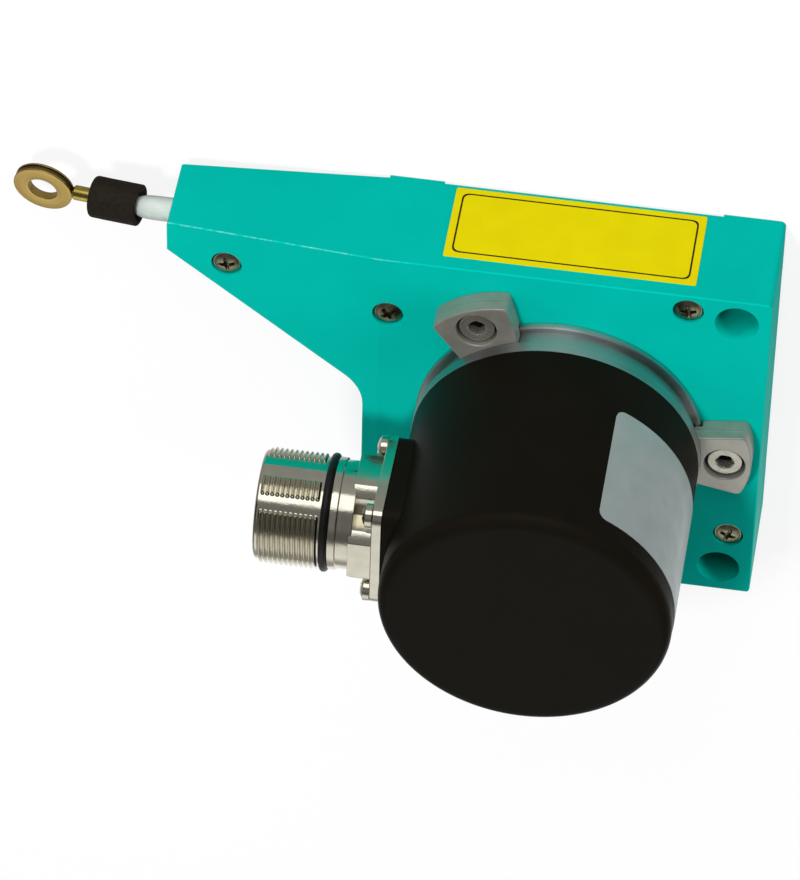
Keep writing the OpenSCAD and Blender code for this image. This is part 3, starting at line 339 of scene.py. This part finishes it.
CAD_FINISHES = {
    TEAL_NYLON: ("front_shell", "back_plate"),
    BLACK_PAINT: ("encoder_cover", "connector_saddle"),
    CLAMP_CASTING: ("clamp_left", "clamp_right", "clamp_rear"),
    NICKEL_PLATE: ("connector_shell", "connector_screws"),
    SEAL_RUBBER: ("cover_seal", "connector_seal"),
    STOP_RUBBER: ("rubber_stop",),
    NATURAL_NYLON: ("wire_nozzle",),
    ZINC_STEEL: ("housing_screws", "board_screws"),
    STAINLESS: ("clamp_screws",),
    TURNED_ALUMINIUM: ("encoder_flange",),
    TURNED_BRASS: ("end_eyelet",),
    DRAWN_BRASS: ("end_ferrule", "clamp_inserts", "board_spacers", "contact_pins"),
    WIRE_STEEL: ("wound_wire", "wire_run"),
    SHADED_GROOVE_WIRE: ("wire_loop",),
    GROUND_STEEL: ("drum_bearing_outer", "drum_bearing_inner", "encoder_bearing_outers",
                   "encoder_bearing_inners", "drum_axle", "encoder_shaft"),
    SPRING_STEEL: ("spiral_spring", "spring_arbor"),
    BLACK_STEEL: ("hub_set_screw", "bearing_circlip"),
    DRUM_ALLOY: ("wire_drum", "disc_hub"),
    BLACK_MOULDING: ("spring_cover", "light_block", "sensor_chip", "board_components", "contact_insert"),
    BOARD_RESIST: ("sensor_board", "interface_board"),
    DISC_GLASS: ("code_disc",),
}
for finish, names in CAD_FINISHES.items():
    for name in names:
        frame["nodes"][name].data.materials.clear()
        frame["nodes"][name].data.materials.append(finish)


# ---- Surfaces ----

def make(name, points, faces, finish, body, stands_for=(), smooth=35.0):
    """One finished piece from points in mm and faces, riding on a body. Doubles are merged, so poles
    and seams close, and the faces are turned outwards."""
    mesh = bpy.data.meshes.new(name)
    mesh.from_pydata((np.asarray(points, float) * MM).tolist(), [], faces)
    work = bmesh.new()
    work.from_mesh(mesh)
    bmesh.ops.remove_doubles(work, verts=work.verts, dist=2e-7)
    bmesh.ops.recalc_face_normals(work, faces=work.faces)
    work.to_mesh(mesh)
    work.free()
    mesh.shade_smooth()
    mesh.set_sharp_from_angle(angle=math.radians(smooth))
    mesh.materials.append(finish)
    piece = bpy.data.objects.new(name, mesh)
    bpy.context.scene.collection.objects.link(piece)
    if body:
        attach(piece, body)
    if stands_for:
        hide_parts(*stands_for)
    return piece


def grid_faces(rows, columns, wrap_rows=False, wrap_columns=False, first=0):
    """Quads between neighbouring points of a rows x columns grid, as whole arrays of indices."""
    i, j = np.meshgrid(np.arange(rows if wrap_rows else rows - 1),
                       np.arange(columns if wrap_columns else columns - 1), indexing="ij")
    below, right = (i + 1) % rows, (j + 1) % columns
    quads = np.stack([i * columns + j, below * columns + j, below * columns + right,
                      i * columns + right], -1)
    return (quads.reshape(-1, 4) + first).tolist()


def grids(parts, wrap_rows=False, wrap_columns=True):
    """Several grids (each rows x columns x 3) as one list of points and faces."""
    points, faces, first = [], [], 0
    for part in parts:
        rows, columns = part.shape[:2]
        points.append(part.reshape(-1, 3))
        faces += grid_faces(rows, columns, wrap_rows, wrap_columns, first)
        first += rows * columns
    return np.concatenate(points), faces


def several(parts):
    """Pieces given as (points, faces) put together in one list of each."""
    points, faces, first = [], [], 0
    for some, between_them in parts:
        points.append(some)
        faces += [[i + first for i in face] for face in between_them]
        first += len(some)
    return np.concatenate(points), faces


def rounded(points, radius, steps=5, closed=False):
    """A profile with its corners rounded: each corner becomes the parabola from radius before it to
    radius after it, or less than half of the shorter side. radius is one value or one for each point."""
    p = np.array(points, float)
    back, on = np.roll(p, 1, 0) - p, np.roll(p, -1, 0) - p
    back_len, on_len = np.linalg.norm(back, axis=1), np.linalg.norm(on, axis=1)
    cut = np.minimum(np.broadcast_to(radius, len(p)), 0.48 * np.minimum(back_len, on_len))
    if not closed:
        cut = np.where(np.arange(len(p)) % (len(p) - 1) == 0, 0, cut)
    first = p + back / back_len[:, None] * cut[:, None]
    last = p + on / on_len[:, None] * cut[:, None]
    s = np.linspace(0, 1, steps)[None, :, None]
    curve = (1 - s) ** 2 * first[:, None] + 2 * s * (1 - s) * p[:, None] + s ** 2 * last[:, None]
    curve = curve.reshape(-1, 2)
    keep = np.linalg.norm(curve - np.roll(curve, 1, 0), axis=1) > 1e-5
    keep[0] = True
    return curve[keep]


def axes(along, across):
    """Columns are a direction across a piece's axis, the one square to both, and the axis itself."""
    w = np.array(along, float) / np.linalg.norm(along)
    u = np.array(across, float) - np.dot(across, w) * w
    u /= np.linalg.norm(u)
    return np.stack([u, np.cross(w, u), w], 1)


def placed(points, origin, frame_columns):
    """Points in local axes put at origin in the given axes."""
    return points @ frame_columns.T + np.array(origin, float)


def revolve(profile, segments=128):
    """Profile points (radius, height) carried round the axis: (r cos a, r sin a, h)."""
    a = np.arange(segments) / segments * TURN
    r, h = np.array(profile, float).T
    return np.stack([r[:, None] * np.cos(a), r[:, None] * np.sin(a),
                     np.repeat(h[:, None], segments, 1)], -1)


def screw_head(radius, height, dome, recess, rim=0.25, rings=70, segments=96):
    """Top of a screw head as a height over a disc: height - dome (r/R)^2.6 minus the recess, then its
    upright side with a rim rounded by rim. recess(x, y) gives the recess's depth."""
    a = np.arange(segments) / segments * TURN
    r = np.linspace(0, radius - rim, rings)
    x, y = r[:, None] * np.cos(a), r[:, None] * np.sin(a)
    top = height - dome * (r[:, None] / radius) ** 2.6 - recess(x, y)
    crown = np.stack([x, y, top], -1)
    low = height - dome * (1 - rim / radius) ** 2.6
    side = revolve(rounded([[radius - rim, low], [radius, low - 0.02], [radius, 0], [radius * 0.5, 0]],
                           [0, rim, 0.05, 0], 6), segments)
    return np.concatenate([crown, side[1:]])


def cross_recess(size, width, depth):
    """Depth of a cross recess: two bars that taper towards their ends, with steep walls and a floor
    that rises outwards, round a deeper middle."""
    def field(x, y):
        def bar(along, across):
            half = width / 2 * (1.15 - 0.35 * np.abs(along) / size)
            wall = np.clip((half - np.abs(across)) / 0.12, 0, 1)
            end = np.clip((size - np.abs(along)) / 0.4, 0, 1)
            return wall * end
        r = np.hypot(x, y)
        middle = np.clip((width * 0.85 - r) / 0.25, 0, 1)
        return depth * np.maximum(np.maximum(bar(x, y), bar(y, x)) * (1.2 - 0.5 * r / size), middle)
    return field


def hex_recess(across, mouth, depth):
    """Depth of a hexagon socket: flat floor and upright walls, in a shallow cone of radius mouth."""
    def field(x, y):
        a = np.arange(3) * math.pi / 3
        reach = np.max(np.abs(x[..., None] * np.cos(a) + y[..., None] * np.sin(a)), -1)
        cone = np.clip((mouth - np.hypot(x, y)) * 0.8, 0, 0.12)
        return np.maximum(depth * np.clip((across / 2 - reach) / 0.06, 0, 1), cone)
    return field


def spun(degrees):
    """Axes turned about Z."""
    c, s = math.cos(math.radians(degrees)), math.sin(math.radians(degrees))
    return np.array([[c, -s, 0], [s, c, 0], [0, 0, 1]])


def outline_slab(outline, low, high):
    """An outline (n x 2) pulled from low to high: its wall and two flat ends."""
    n = len(outline)
    points = np.concatenate([np.column_stack([outline, np.full(n, z)]) for z in (low, high)])
    faces = grid_faces(2, n, wrap_columns=True) + [list(range(n)), list(range(2 * n - 1, n - 1, -1))]
    return points, faces


BEVEL_STEPS = 3
SHARP_EDGE = math.radians(30)


def soften(piece, width):
    """A live bevel of width mm on every sharp edge."""
    bevel = piece.modifiers.new("edges", "BEVEL")
    bevel.width = width * MM
    bevel.segments = BEVEL_STEPS
    bevel.limit_method = "ANGLE"
    bevel.angle_limit = SHARP_EDGE
    bevel.harden_normals = True
    return piece


def softened_copy(node, name, finish, body, width):
    """A merged copy of a CAD node whose flat faces are joined and whose edges are bevelled."""
    mesh = frame["nodes"][node].data.copy()
    mesh.name = name
    work = bmesh.new()
    work.from_mesh(mesh)
    bmesh.ops.remove_doubles(work, verts=work.verts, dist=2e-6)
    bmesh.ops.dissolve_limit(work, angle_limit=math.radians(0.8), verts=work.verts, edges=work.edges)
    work.to_mesh(mesh)
    work.free()
    mesh.shade_smooth()
    mesh.set_sharp_from_angle(angle=SHARP_EDGE)
    mesh.materials.clear()
    mesh.materials.append(finish)
    piece = bpy.data.objects.new(name, mesh)
    bpy.context.scene.collection.objects.link(piece)
    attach(piece, body)
    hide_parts(node)
    return soften(piece, width)


# ---- Housing ----

def face_height(x):
    """Height of the front face, which falls along the nose."""
    return FACE_Z - max(0.0, x - NOSE_START) * NOSE_SLOPE


# Cross-recess screws of the housing
heads = []
for x, y in [(SCREW_CIRCLE * math.cos(math.radians(a)), SCREW_CIRCLE * math.sin(math.radians(a)))
             for a in SCREW_ANGLES] + [NOSE_SCREW]:
    local = screw_head(2.75, 1.9, 0.8, cross_recess(1.65, 0.85, 1.2))
    heads.append(placed(local, (x, y, face_height(x) - SCREW_SEAT), spun(37 + 61 * len(heads))))
points, faces = grids(heads)
make("housing_screw_heads", points, faces, ZINC_STEEL, "housing", ("housing_screws",), 50)


# ---- Clamps ----

for side in ("left", "right", "rear"):
    softened_copy("clamp_" + side, "servo_clamp_" + side, CLAMP_CASTING, "housing", 0.3)

# Cap screws. A near-black slab on the floor of each socket is painted shade of the deep socket.
# Radius and height of a head, and how far below the clamp's top it stands
CAP_R, CAP_H, CAP_LOW = 3.5, 3.0, 3.8
# Socket: width across its flats, radius of its shallow mouth, and depth
HEXAGON, HEX_MOUTH, HEX_DEPTH = 3.35, 1.95, 2.2
# The painted shade slab lies between these heights above the foot of the head
SHADE_HEIGHTS = (0.78, 0.9)

caps, shade_slabs = [], []
for a in CLAMP_ANGLES:
    local = screw_head(CAP_R, CAP_H, 0.04, hex_recess(HEXAGON, HEX_MOUTH, HEX_DEPTH), rim=0.4,
                       rings=90)
    at = (CLAMP_CIRCLE * math.cos(math.radians(a)), CLAMP_CIRCLE * math.sin(math.radians(a)),
          CLAMP_TOP - CAP_LOW)
    caps.append(placed(local, at, spun(20 + 0.37 * a)))
    corner = (np.arange(6) + 0.5) * TURN / 6
    hexagon = (HEXAGON / 2 - 0.05) / math.cos(TURN / 12) * np.column_stack([np.cos(corner), np.sin(corner)])
    local, faces = outline_slab(hexagon, *SHADE_HEIGHTS)
    shade_slabs.append((placed(local, at, spun(20 + 0.37 * a)), faces))
points, faces = grids(caps)
make("cap_screw_heads", points, faces, STAINLESS, "housing", ("clamp_screws",), 50)
points, faces = several(shade_slabs)
make("cap_screw_socket_shade", points, faces, SOCKET_SHADE, "housing")


# ---- Connector ----

# Its own axes are turned a little about X: the first is nearly -Z, the second nearly +Y, the third +X
CONNECTOR_TURN = math.radians(3.5)
CONNECTOR = axes((1, 0, 0), (0, math.sin(CONNECTOR_TURN), -math.cos(CONNECTOR_TURN)))
CONNECTOR_AT = (0, 0, CONNECTOR_Z)
FLANGE_X = SADDLE_X + 2.2
BLOCK_X = FLANGE_X + 4.7
NECK_X = BLOCK_X + 2.6
SHOULDER_X = NECK_X + 1.6
SEAL_X = SHOULDER_X + 1.7
SEAL_R = 0.8
NECK_R = 10.8
SHOULDER_R = 11.2
CORE_R = 6.75
THREAD_R = 11.5
THREAD_PITCH = 1.0
THREAD_ROOT = 10.85
GROOVE_R = 10.25
SOCKET_R = 9.3
SCREW_AT = 9.9
# Lands of the thread: direction about the axis (0 is -Z, 90 is +Y) and half width, in degrees
LANDS = ((-91, 14.0), (-134.5, 8.3), (89, 14.0), (45.5, 8.3))
SEAMS = (-90, 90)
COLUMNS = 360


def thread_barrel(rows=215):
    """Threaded barrel: r = root + depth x ridge(x / pitch - a / turn) x window(a) x fade(x), with a
    rounded triangular ridge, smooth lands where the mould parts, a hair-thin seam in the middle of the
    wide lands, and a plain lead-in at each end."""
    a = np.arange(COLUMNS) / COLUMNS * TURN
    x = np.linspace(SEAL_X, BARREL_END, rows)
    phase = (x[:, None] / THREAD_PITCH - a / TURN) % 1.0
    ridge = 1 - np.abs(2 * phase - 1)
    ridge = np.clip(1.25 * ridge - 0.1, 0, 1)
    ridge = ridge * ridge * (3 - 2 * ridge) * 0.5 + ridge * 0.5
    window, seam = np.ones(COLUMNS), np.zeros(COLUMNS)
    for land, half in LANDS:
        off = np.abs((a - math.radians(land) + math.pi) % TURN - math.pi)
        window *= np.clip((off - math.radians(half)) / math.radians(2.4), 0, 1)
    for place in SEAMS:
        off = np.abs((a - math.radians(place) + math.pi) % TURN - math.pi)
        seam += np.clip(1 - off / math.radians(0.9), 0, 1)
    window = np.sin(window * math.pi / 2)
    fade = np.clip((x - SEAL_X - 0.25) / 0.4, 0, 1) * np.clip((BARREL_END - 0.75 - x) / 0.4, 0, 1)
    lead = np.clip((BARREL_END - x) / 0.5, 0, 1)
    r = THREAD_ROOT + (THREAD_R - THREAD_ROOT) * ridge * window * fade[:, None]
    r = r - 0.35 * (1 - lead[:, None]) ** 2 + 0.06 * seam * fade[:, None]
    return np.stack([r * np.cos(a), r * np.sin(a), np.repeat(x[:, None], COLUMNS, 1)], -1)


bore = revolve(rounded([[THREAD_ROOT - 0.35, BARREL_END], [SOCKET_R + 0.25, BARREL_END],
                        [SOCKET_R, BARREL_END - 0.25], [SOCKET_R, BARREL_END - 14]], 0.12, 4), COLUMNS)
back = revolve(rounded([[CORE_R, SADDLE_X + 1], [CORE_R, BLOCK_X - 0.6], [NECK_R, BLOCK_X - 0.6],
                        [NECK_R, NECK_X], [SHOULDER_R, NECK_X], [SHOULDER_R, SHOULDER_X], [GROOVE_R, SHOULDER_X],
                        [GROOVE_R, SEAL_X], [THREAD_ROOT, SEAL_X]], 0.18, 5), COLUMNS)
barrel = np.concatenate([back, thread_barrel()[1:], bore[1:]])
points, faces = grids([placed(barrel, CONNECTOR_AT, CONNECTOR)])
make("connector_barrel", points, faces, NICKEL_PLATE, "housing", ("connector_shell",), 60)


def square(half_x, half_y, radius, steps=8):
    """Rounded rectangle of half widths half_x and half_y."""
    return rounded([[half_x, half_y], [-half_x, half_y], [-half_x, -half_y], [half_x, -half_y]],
                   radius, steps, closed=True)


def block_outline():
    """Outline of the block behind the barrel: a square cut at its corners, wide and chamfered on one
    diagonal and as plain slots on the other, the same after half a turn."""
    half, long, short, notch = 11.1, 6.3, 2.8, 4.7
    side = np.array([[-half, -short], [-half, long], [-long, long], [-long, half], [short, half],
                     [notch, half - notch + short], [notch, notch], [half - notch + short, notch]])
    return np.concatenate([side, -side])


for name, outline, low, high, edge in (
        ("connector_flange", square(12.5, 12.5, 3.5), SADDLE_X, FLANGE_X, 0.3),
        ("connector_block", rounded(block_outline(), 0.3, 4, closed=True), FLANGE_X - 0.1, BLOCK_X,
         0.25)):
    points, faces = outline_slab(outline, low, high)
    soften(make(name, placed(points, CONNECTOR_AT, CONNECTOR), faces, NICKEL_PLATE, "housing"),
           edge)

heads = []
for a, b in ((-1, -1), (-1, 1), (1, -1), (1, 1)):
    local = screw_head(2.45, 2.1, 1.0, cross_recess(1.4, 0.8, 0.9), rim=0.3)
    local = placed(local, (0, 0, 0), spun(33 * a + 20 * b))
    local = local + np.array([a * SCREW_AT, b * SCREW_AT, FLANGE_X])
    heads.append(placed(local, CONNECTOR_AT, CONNECTOR))
points, faces = grids(heads)
make("connector_screw_heads", points, faces, NICKEL_PLATE, "housing", ("connector_screws",), 50)

a = np.arange(48) / 48 * TURN
ring = np.column_stack([GROOVE_R + SEAL_R + SEAL_R * np.cos(a),
                        (SHOULDER_X + SEAL_X) / 2 + SEAL_R * np.sin(a)])
points, faces = grids([placed(revolve(ring, 240), CONNECTOR_AT, CONNECTOR)], wrap_rows=True)
make("connector_ring", points, faces, SEAL_RUBBER, "housing", ("connector_seal",), 80)


# ---- Plates, bare ----

ON_LABEL_FACE = axes((0, -1, 0), (1, 0, 0))
PLATE_Z = 11.1
points, faces = outline_slab(square(25.0, 9.75, 0.4, 6), 0.0, 0.12)
make("yellow_plate", placed(points, (0, LABEL_Y, PLATE_Z), ON_LABEL_FACE), faces, YELLOW_FILM, "housing")


def printed_frame(half_x, half_z, width, radius, proud):
    """Printed border: a flat band between two rounded rectangles, as a grid of four rows."""
    outer = square(half_x, half_z, radius)
    inner = outer * ((np.array([half_x, half_z]) - width) / np.array([half_x, half_z]))
    return np.stack([np.column_stack([ring, np.full(len(ring), h)]) for ring, h in
                     ((outer, 0.0), (outer, proud), (inner, proud), (inner, 0.0))])


border = placed(printed_frame(23.6, 8.4, 0.35, 1.6, 0.04), (0, LABEL_Y - 0.1, PLATE_Z), ON_LABEL_FACE)
points, faces = grids([border])
make("yellow_plate_border", points, faces, PRINTED_INK, "housing")

# Type plate wrapped round the cover
PLATE_ANGLES = (-116.6, -216.6)
PLATE_HEIGHTS = (42.5, 71.5)


def bent_plate(radius, thick):
    """Film wrapped on a cylinder: a rectangle (arc length, height) whose corners are rounded, as rows
    of points at shares of its half height."""
    half_arc = math.radians(abs(PLATE_ANGLES[1] - PLATE_ANGLES[0])) / 2 * radius
    half_h = (PLATE_HEIGHTS[1] - PLATE_HEIGHTS[0]) / 2
    mid_a = math.radians(sum(PLATE_ANGLES) / 2)
    mid_z = sum(PLATE_HEIGHTS) / 2
    s = np.linspace(-half_arc, half_arc, 160)
    corner = 2.0
    inset = np.maximum(np.abs(s) - (half_arc - corner), 0)
    edge = half_h - corner + np.sqrt(np.maximum(corner ** 2 - inset ** 2, 0))
    a = mid_a + s / radius
    return np.stack([np.stack([r * np.cos(a), r * np.sin(a), mid_z + share * edge], -1)
                     for share, r in ((1, radius - 0.05), (1, radius + thick), (0, radius + thick),
                                      (-1, radius + thick), (-1, radius - 0.05))])


points, faces = grids([bent_plate(ENCODER_R - 0.1, 0.12)], wrap_columns=False)
make("type_plate", points, faces, SILVER_FILM, "housing")


# ---- Nozzle and wire end ----

ALONG_X = axes((1, 0, 0), (0, 0, -1))
WIRE_AT = (0, PIVOT[1], PIVOT[2])
nozzle = rounded([[0.6, NOZZLE_LOW + 1.5], [1.5, NOZZLE_LOW], [2.45, NOZZLE_LOW],
                  [2.45, NOZZLE_END - 4.6], [2.4, NOZZLE_END - 2.6], [2.2, NOZZLE_END - 1.2],
                  [1.75, NOZZLE_END - 0.1], [1.45, NOZZLE_END], [1.1, NOZZLE_END],
                  [0.6, NOZZLE_END - 3.0]],
                 [0, 0.1, 0.1, 1.0, 1.0, 0.6, 0.3, 0.1, 0.1, 0], 6)
points, faces = grids([placed(revolve(nozzle, 96), WIRE_AT, ALONG_X)], wrap_rows=True)
make("nozzle", points, faces, NATURAL_NYLON, "housing", ("wire_nozzle",), 60)

strand = np.stack([np.full(60, WIRE_R), np.linspace(0, PIVOT[0] - 0.1, 60)], 1)
points, faces = grids([placed(revolve(strand, 24), WIRE_AT, ALONG_X)])
wire = make("measuring_wire", points, faces, WIRE_STEEL, None, ("wire_run",))
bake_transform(wire)

# The wire end's own axis runs from the pivot to the eyelet's centre
WIRE_END = axes(EYELET - PIVOT, EYELET_AXIS)
STOP = (1.2, 11.2)
STOP_R = 4.2
FERRULE_END = 15.45

stop = rounded([[0.5, STOP[0] + 2.6], [2.25, STOP[0] + 1.1], [3.4, STOP[0]], [STOP_R, STOP[0]],
                [STOP_R, STOP[0] + 3], [STOP_R, STOP[1] - 3], [STOP_R, STOP[1]], [0.5, STOP[1]]],
               [0, 0.3, 0.25, 0.75, 0, 0, 0.75, 0], 8)
body = revolve(stop, 96)
a = np.arange(96) / 96 * TURN
ripple = 1 + 0.004 * np.sin(3 * a + 0.5) * np.sin(body[..., 2] * 0.7) + 0.003 * np.sin(5 * a - 1.1)
body[..., :2] *= ripple[..., None]
points, faces = grids([placed(body, PIVOT, WIRE_END)], wrap_rows=True)
make("rubber_buffer", points, faces, STOP_RUBBER, "wire_end", ("rubber_stop",), 60)

ferrule = rounded([[0.42, STOP[1] - 3.5], [1.5, STOP[1] - 3.5], [1.5, FERRULE_END - 0.5],
                   [1.05, FERRULE_END], [0.42, FERRULE_END]], 0.1, 5)
points, faces = grids([placed(revolve(ferrule, 96), PIVOT, WIRE_END)], wrap_rows=True)
make("crimp_ferrule", points, faces, DRAWN_BRASS, "wire_end", ("end_ferrule",), 60)

half_t, groove_half, groove_in = 0.9, 0.45, 5.2
eyelet = rounded([[3.0, -half_t], [6.1, -half_t], [6.1, -groove_half], [groove_in, -groove_half],
                  [groove_in, groove_half], [6.1, groove_half], [6.1, half_t], [3.0, half_t]],
                 [0.15, 0.14, 0.06, 0.06, 0.06, 0.06, 0.14, 0.15], 5, closed=True)
points, faces = grids([placed(revolve(eyelet, 192), EYELET, axes(EYELET_AXIS, (1, 0, 0)))], wrap_rows=True)
make("brass_eyelet", points, faces, TURNED_BRASS, "wire_end", ("end_eyelet",), 50)


# ---- Floor, light and camera ----

def floor():
    """Pale floor under the corner pads: white to the camera and to glass, pale to metal, and darker to
    metal in front of the object, where the studio is unlit. Lamps add a little, so a shadow shows."""
    size = 6000.0
    points = np.array([[-size, -size, 0], [size, -size, 0], [size, size, 0], [-size, size, 0]]) * MM
    mesh = bpy.data.meshes.new("studio_floor")
    mesh.from_pydata(points.tolist(), [], [[0, 1, 2, 3]])
    plane = bpy.data.objects.new("studio_floor", mesh)
    plane.location.z = -0.0004
    bpy.context.scene.collection.objects.link(plane)
    paper = bpy.data.materials.new("white_paper_floor")
    paper.use_nodes = True
    tree = paper.node_tree
    tree.nodes.clear()
    path = add(tree, "LightPath")
    seen = sums(tree, "MAXIMUM", path.outputs["Is Camera Ray"], path.outputs["Is Transmission Ray"])
    x, y, _ = add(tree, "SeparateXYZ", {0: add(tree, "TexCoord").outputs["Object"]}).outputs
    beside = between(tree, sums(tree, "ABSOLUTE", x), 1.0, 0.2, 0.08, 0.2)
    ahead = between(tree, y, 0.13, 0.85, -0.04, 0.07)
    mirrored = sums(tree, "MULTIPLY", path.outputs["Is Glossy Ray"], ahead)
    mirrored = sums(tree, "MULTIPLY", mirrored, beside)
    glow = sums(tree, "MAXIMUM", sums(tree, "MULTIPLY", seen, 0.84), mirrored)
    diffuse = add(tree, "BsdfDiffuse", {"Color": linear("#757575")})
    light = add(tree, "Emission", {"Color": linear("#FFFFFF"), "Strength": glow})
    both = add(tree, "AddShader", {0: diffuse.outputs[0], 1: light.outputs[0]})
    add(tree, "OutputMaterial", {"Surface": both.outputs[0]})
    if hasattr(paper, "cycles"):
        paper.cycles.emission_sampling = "NONE"
    mesh.materials.append(paper)


# The point that the lamps face
LIT_CENTRE = (10.0, 0.0, 30.0)
# Name, place, width, height and power of each lamp
LAMPS = (
    ("key", (300, -640, 1240), 150, 150, 10.0),
    ("low_softbox", (200, -1300, 560), 1300, 950, 11.5),
    ("right_softbox", (-1300, -300, 450), 700, 500, 8.0),
    ("left_softbox", (1300, -500, 500), 700, 500, 5.0),
    ("back_fill", (-700, 1200, 300), 900, 500, 3.0),
)


def lamp(name, place, width, height, power):
    """Rectangular soft light at place, width x height mm, facing the object; power in watts. Metal
    doesn't see it and shows the studio's light walls in its place."""
    data = bpy.data.lights.new(name, "AREA")
    data.shape = "RECTANGLE"
    data.size = width * MM
    data.size_y = height * MM
    data.energy = power
    light = bpy.data.objects.new(name, data)
    light.location = Vector(place) * MM
    light.rotation_euler = (Vector(LIT_CENTRE) - Vector(place)).to_track_quat("-Z", "Y").to_euler()
    light.visible_glossy = False
    bpy.context.scene.collection.objects.link(light)


# What metal sees round it, as (angle, brightness). In degrees, 0 is the horizon in front (-Y), 90 is
# overhead, 180 is the horizon behind and -90 is straight down.
STUDIO_BANDS = ((-180, 0.85), (-90, 0.4), (-20, 0.12), (0, 0.12), (3, 1.0), (34, 1.0), (38, 0.1),
                (106, 0.12), (118, 0.9), (150, 1.0), (165, 0.4))
# The light walls stand in front and behind: how far to the side, as a share of the view's length, they
# start and stop to fade, and the share of brightness left beside them
WALL_FADE = (0.42, 0.7, 0.2)
# The brightest part of the front wall: its middle to the side, where it starts and stops to fade, and
# how much it adds
FRONT_GLOW = (0.1, 0.12, 0.22, 0.9)


# What everything but metal, glass and the camera gets from the surroundings
LIT_LEVEL = 0.17


def world(strength):
    """Even pale surroundings: white to the camera and to glass, a plain level for everything that is lit,
    and light and dark studio walls to metal."""
    surroundings = bpy.data.worlds.new("studio")
    bpy.context.scene.world = surroundings
    surroundings.use_nodes = True
    tree = surroundings.node_tree
    tree.nodes.clear()
    path = add(tree, "LightPath")
    seen = sums(tree, "MAXIMUM", path.outputs["Is Camera Ray"], path.outputs["Is Transmission Ray"])
    x, y, z = add(tree, "SeparateXYZ", {0: add(tree, "TexCoord").outputs["Generated"]}).outputs
    angle = sums(tree, "ARCTAN2", z, sums(tree, "MULTIPLY", y, -1.0))
    bands = add(tree, "ValToRGB", {"Fac": between(tree, angle, 0.0, 1.0, -math.pi, math.pi)})
    stops = bands.color_ramp.elements
    while len(stops) < len(STUDIO_BANDS):
        stops.new(0.5)
    for stop, (degrees, level) in zip(stops, STUDIO_BANDS):
        stop.position = (degrees + 180) / 360
        stop.color = (level, level, level, 1.0)
    glossy = path.outputs["Is Glossy Ray"]
    fade = between(tree, sums(tree, "ABSOLUTE", x), 1.0, WALL_FADE[2], WALL_FADE[0], WALL_FADE[1])
    middle, near, far, extra = FRONT_GLOW
    glow = between(tree, sums(tree, "ABSOLUTE", sums(tree, "SUBTRACT", x, middle)), extra, 0.0, near, far)
    glow = sums(tree, "MULTIPLY", glow, between(tree, y, 1.0, 0.0, -0.3, 0.0))
    walls = sums(tree, "MULTIPLY", bands.outputs["Color"], sums(tree, "ADD", fade, glow))
    level = add(tree, "Mix", {0: glossy, 2: strength, 3: walls}).outputs[0]
    level = sums(tree, "MAXIMUM", seen, level)
    background = add(tree, "Background", {"Color": linear("#FFFFFF"), "Strength": level})
    add(tree, "OutputWorld", {"Surface": background.outputs[0]})
    if hasattr(surroundings, "cycles"):
        surroundings.cycles.sampling_method = "NONE"


def camera():
    """Long lens, from above the label face and the encoder, turned so that the label face is at the top."""
    data = bpy.data.cameras.new("camera")
    data.sensor_fit = "HORIZONTAL"
    data.sensor_width = 36.0
    data.lens = 290.13
    data.clip_start = 0.01
    data.clip_end = 50.0
    eye = bpy.data.objects.new("camera", data)
    right = Vector((-0.98838, -0.01727, -0.15099))
    up = Vector((0.12081, -0.69203, -0.71169))
    back = right.cross(up)
    turn = Matrix((right, up, back)).transposed()
    eye.matrix_world = Matrix.Translation(Vector((-87.63, -927.74, 915.20)) * MM) @ turn.to_4x4()
    bpy.context.scene.collection.objects.link(eye)
    bpy.context.scene.camera = eye


floor()
world(LIT_LEVEL)
for each in LAMPS:
    lamp(*each)
camera()
bpy.context.scene.view_settings.view_transform = "Standard"
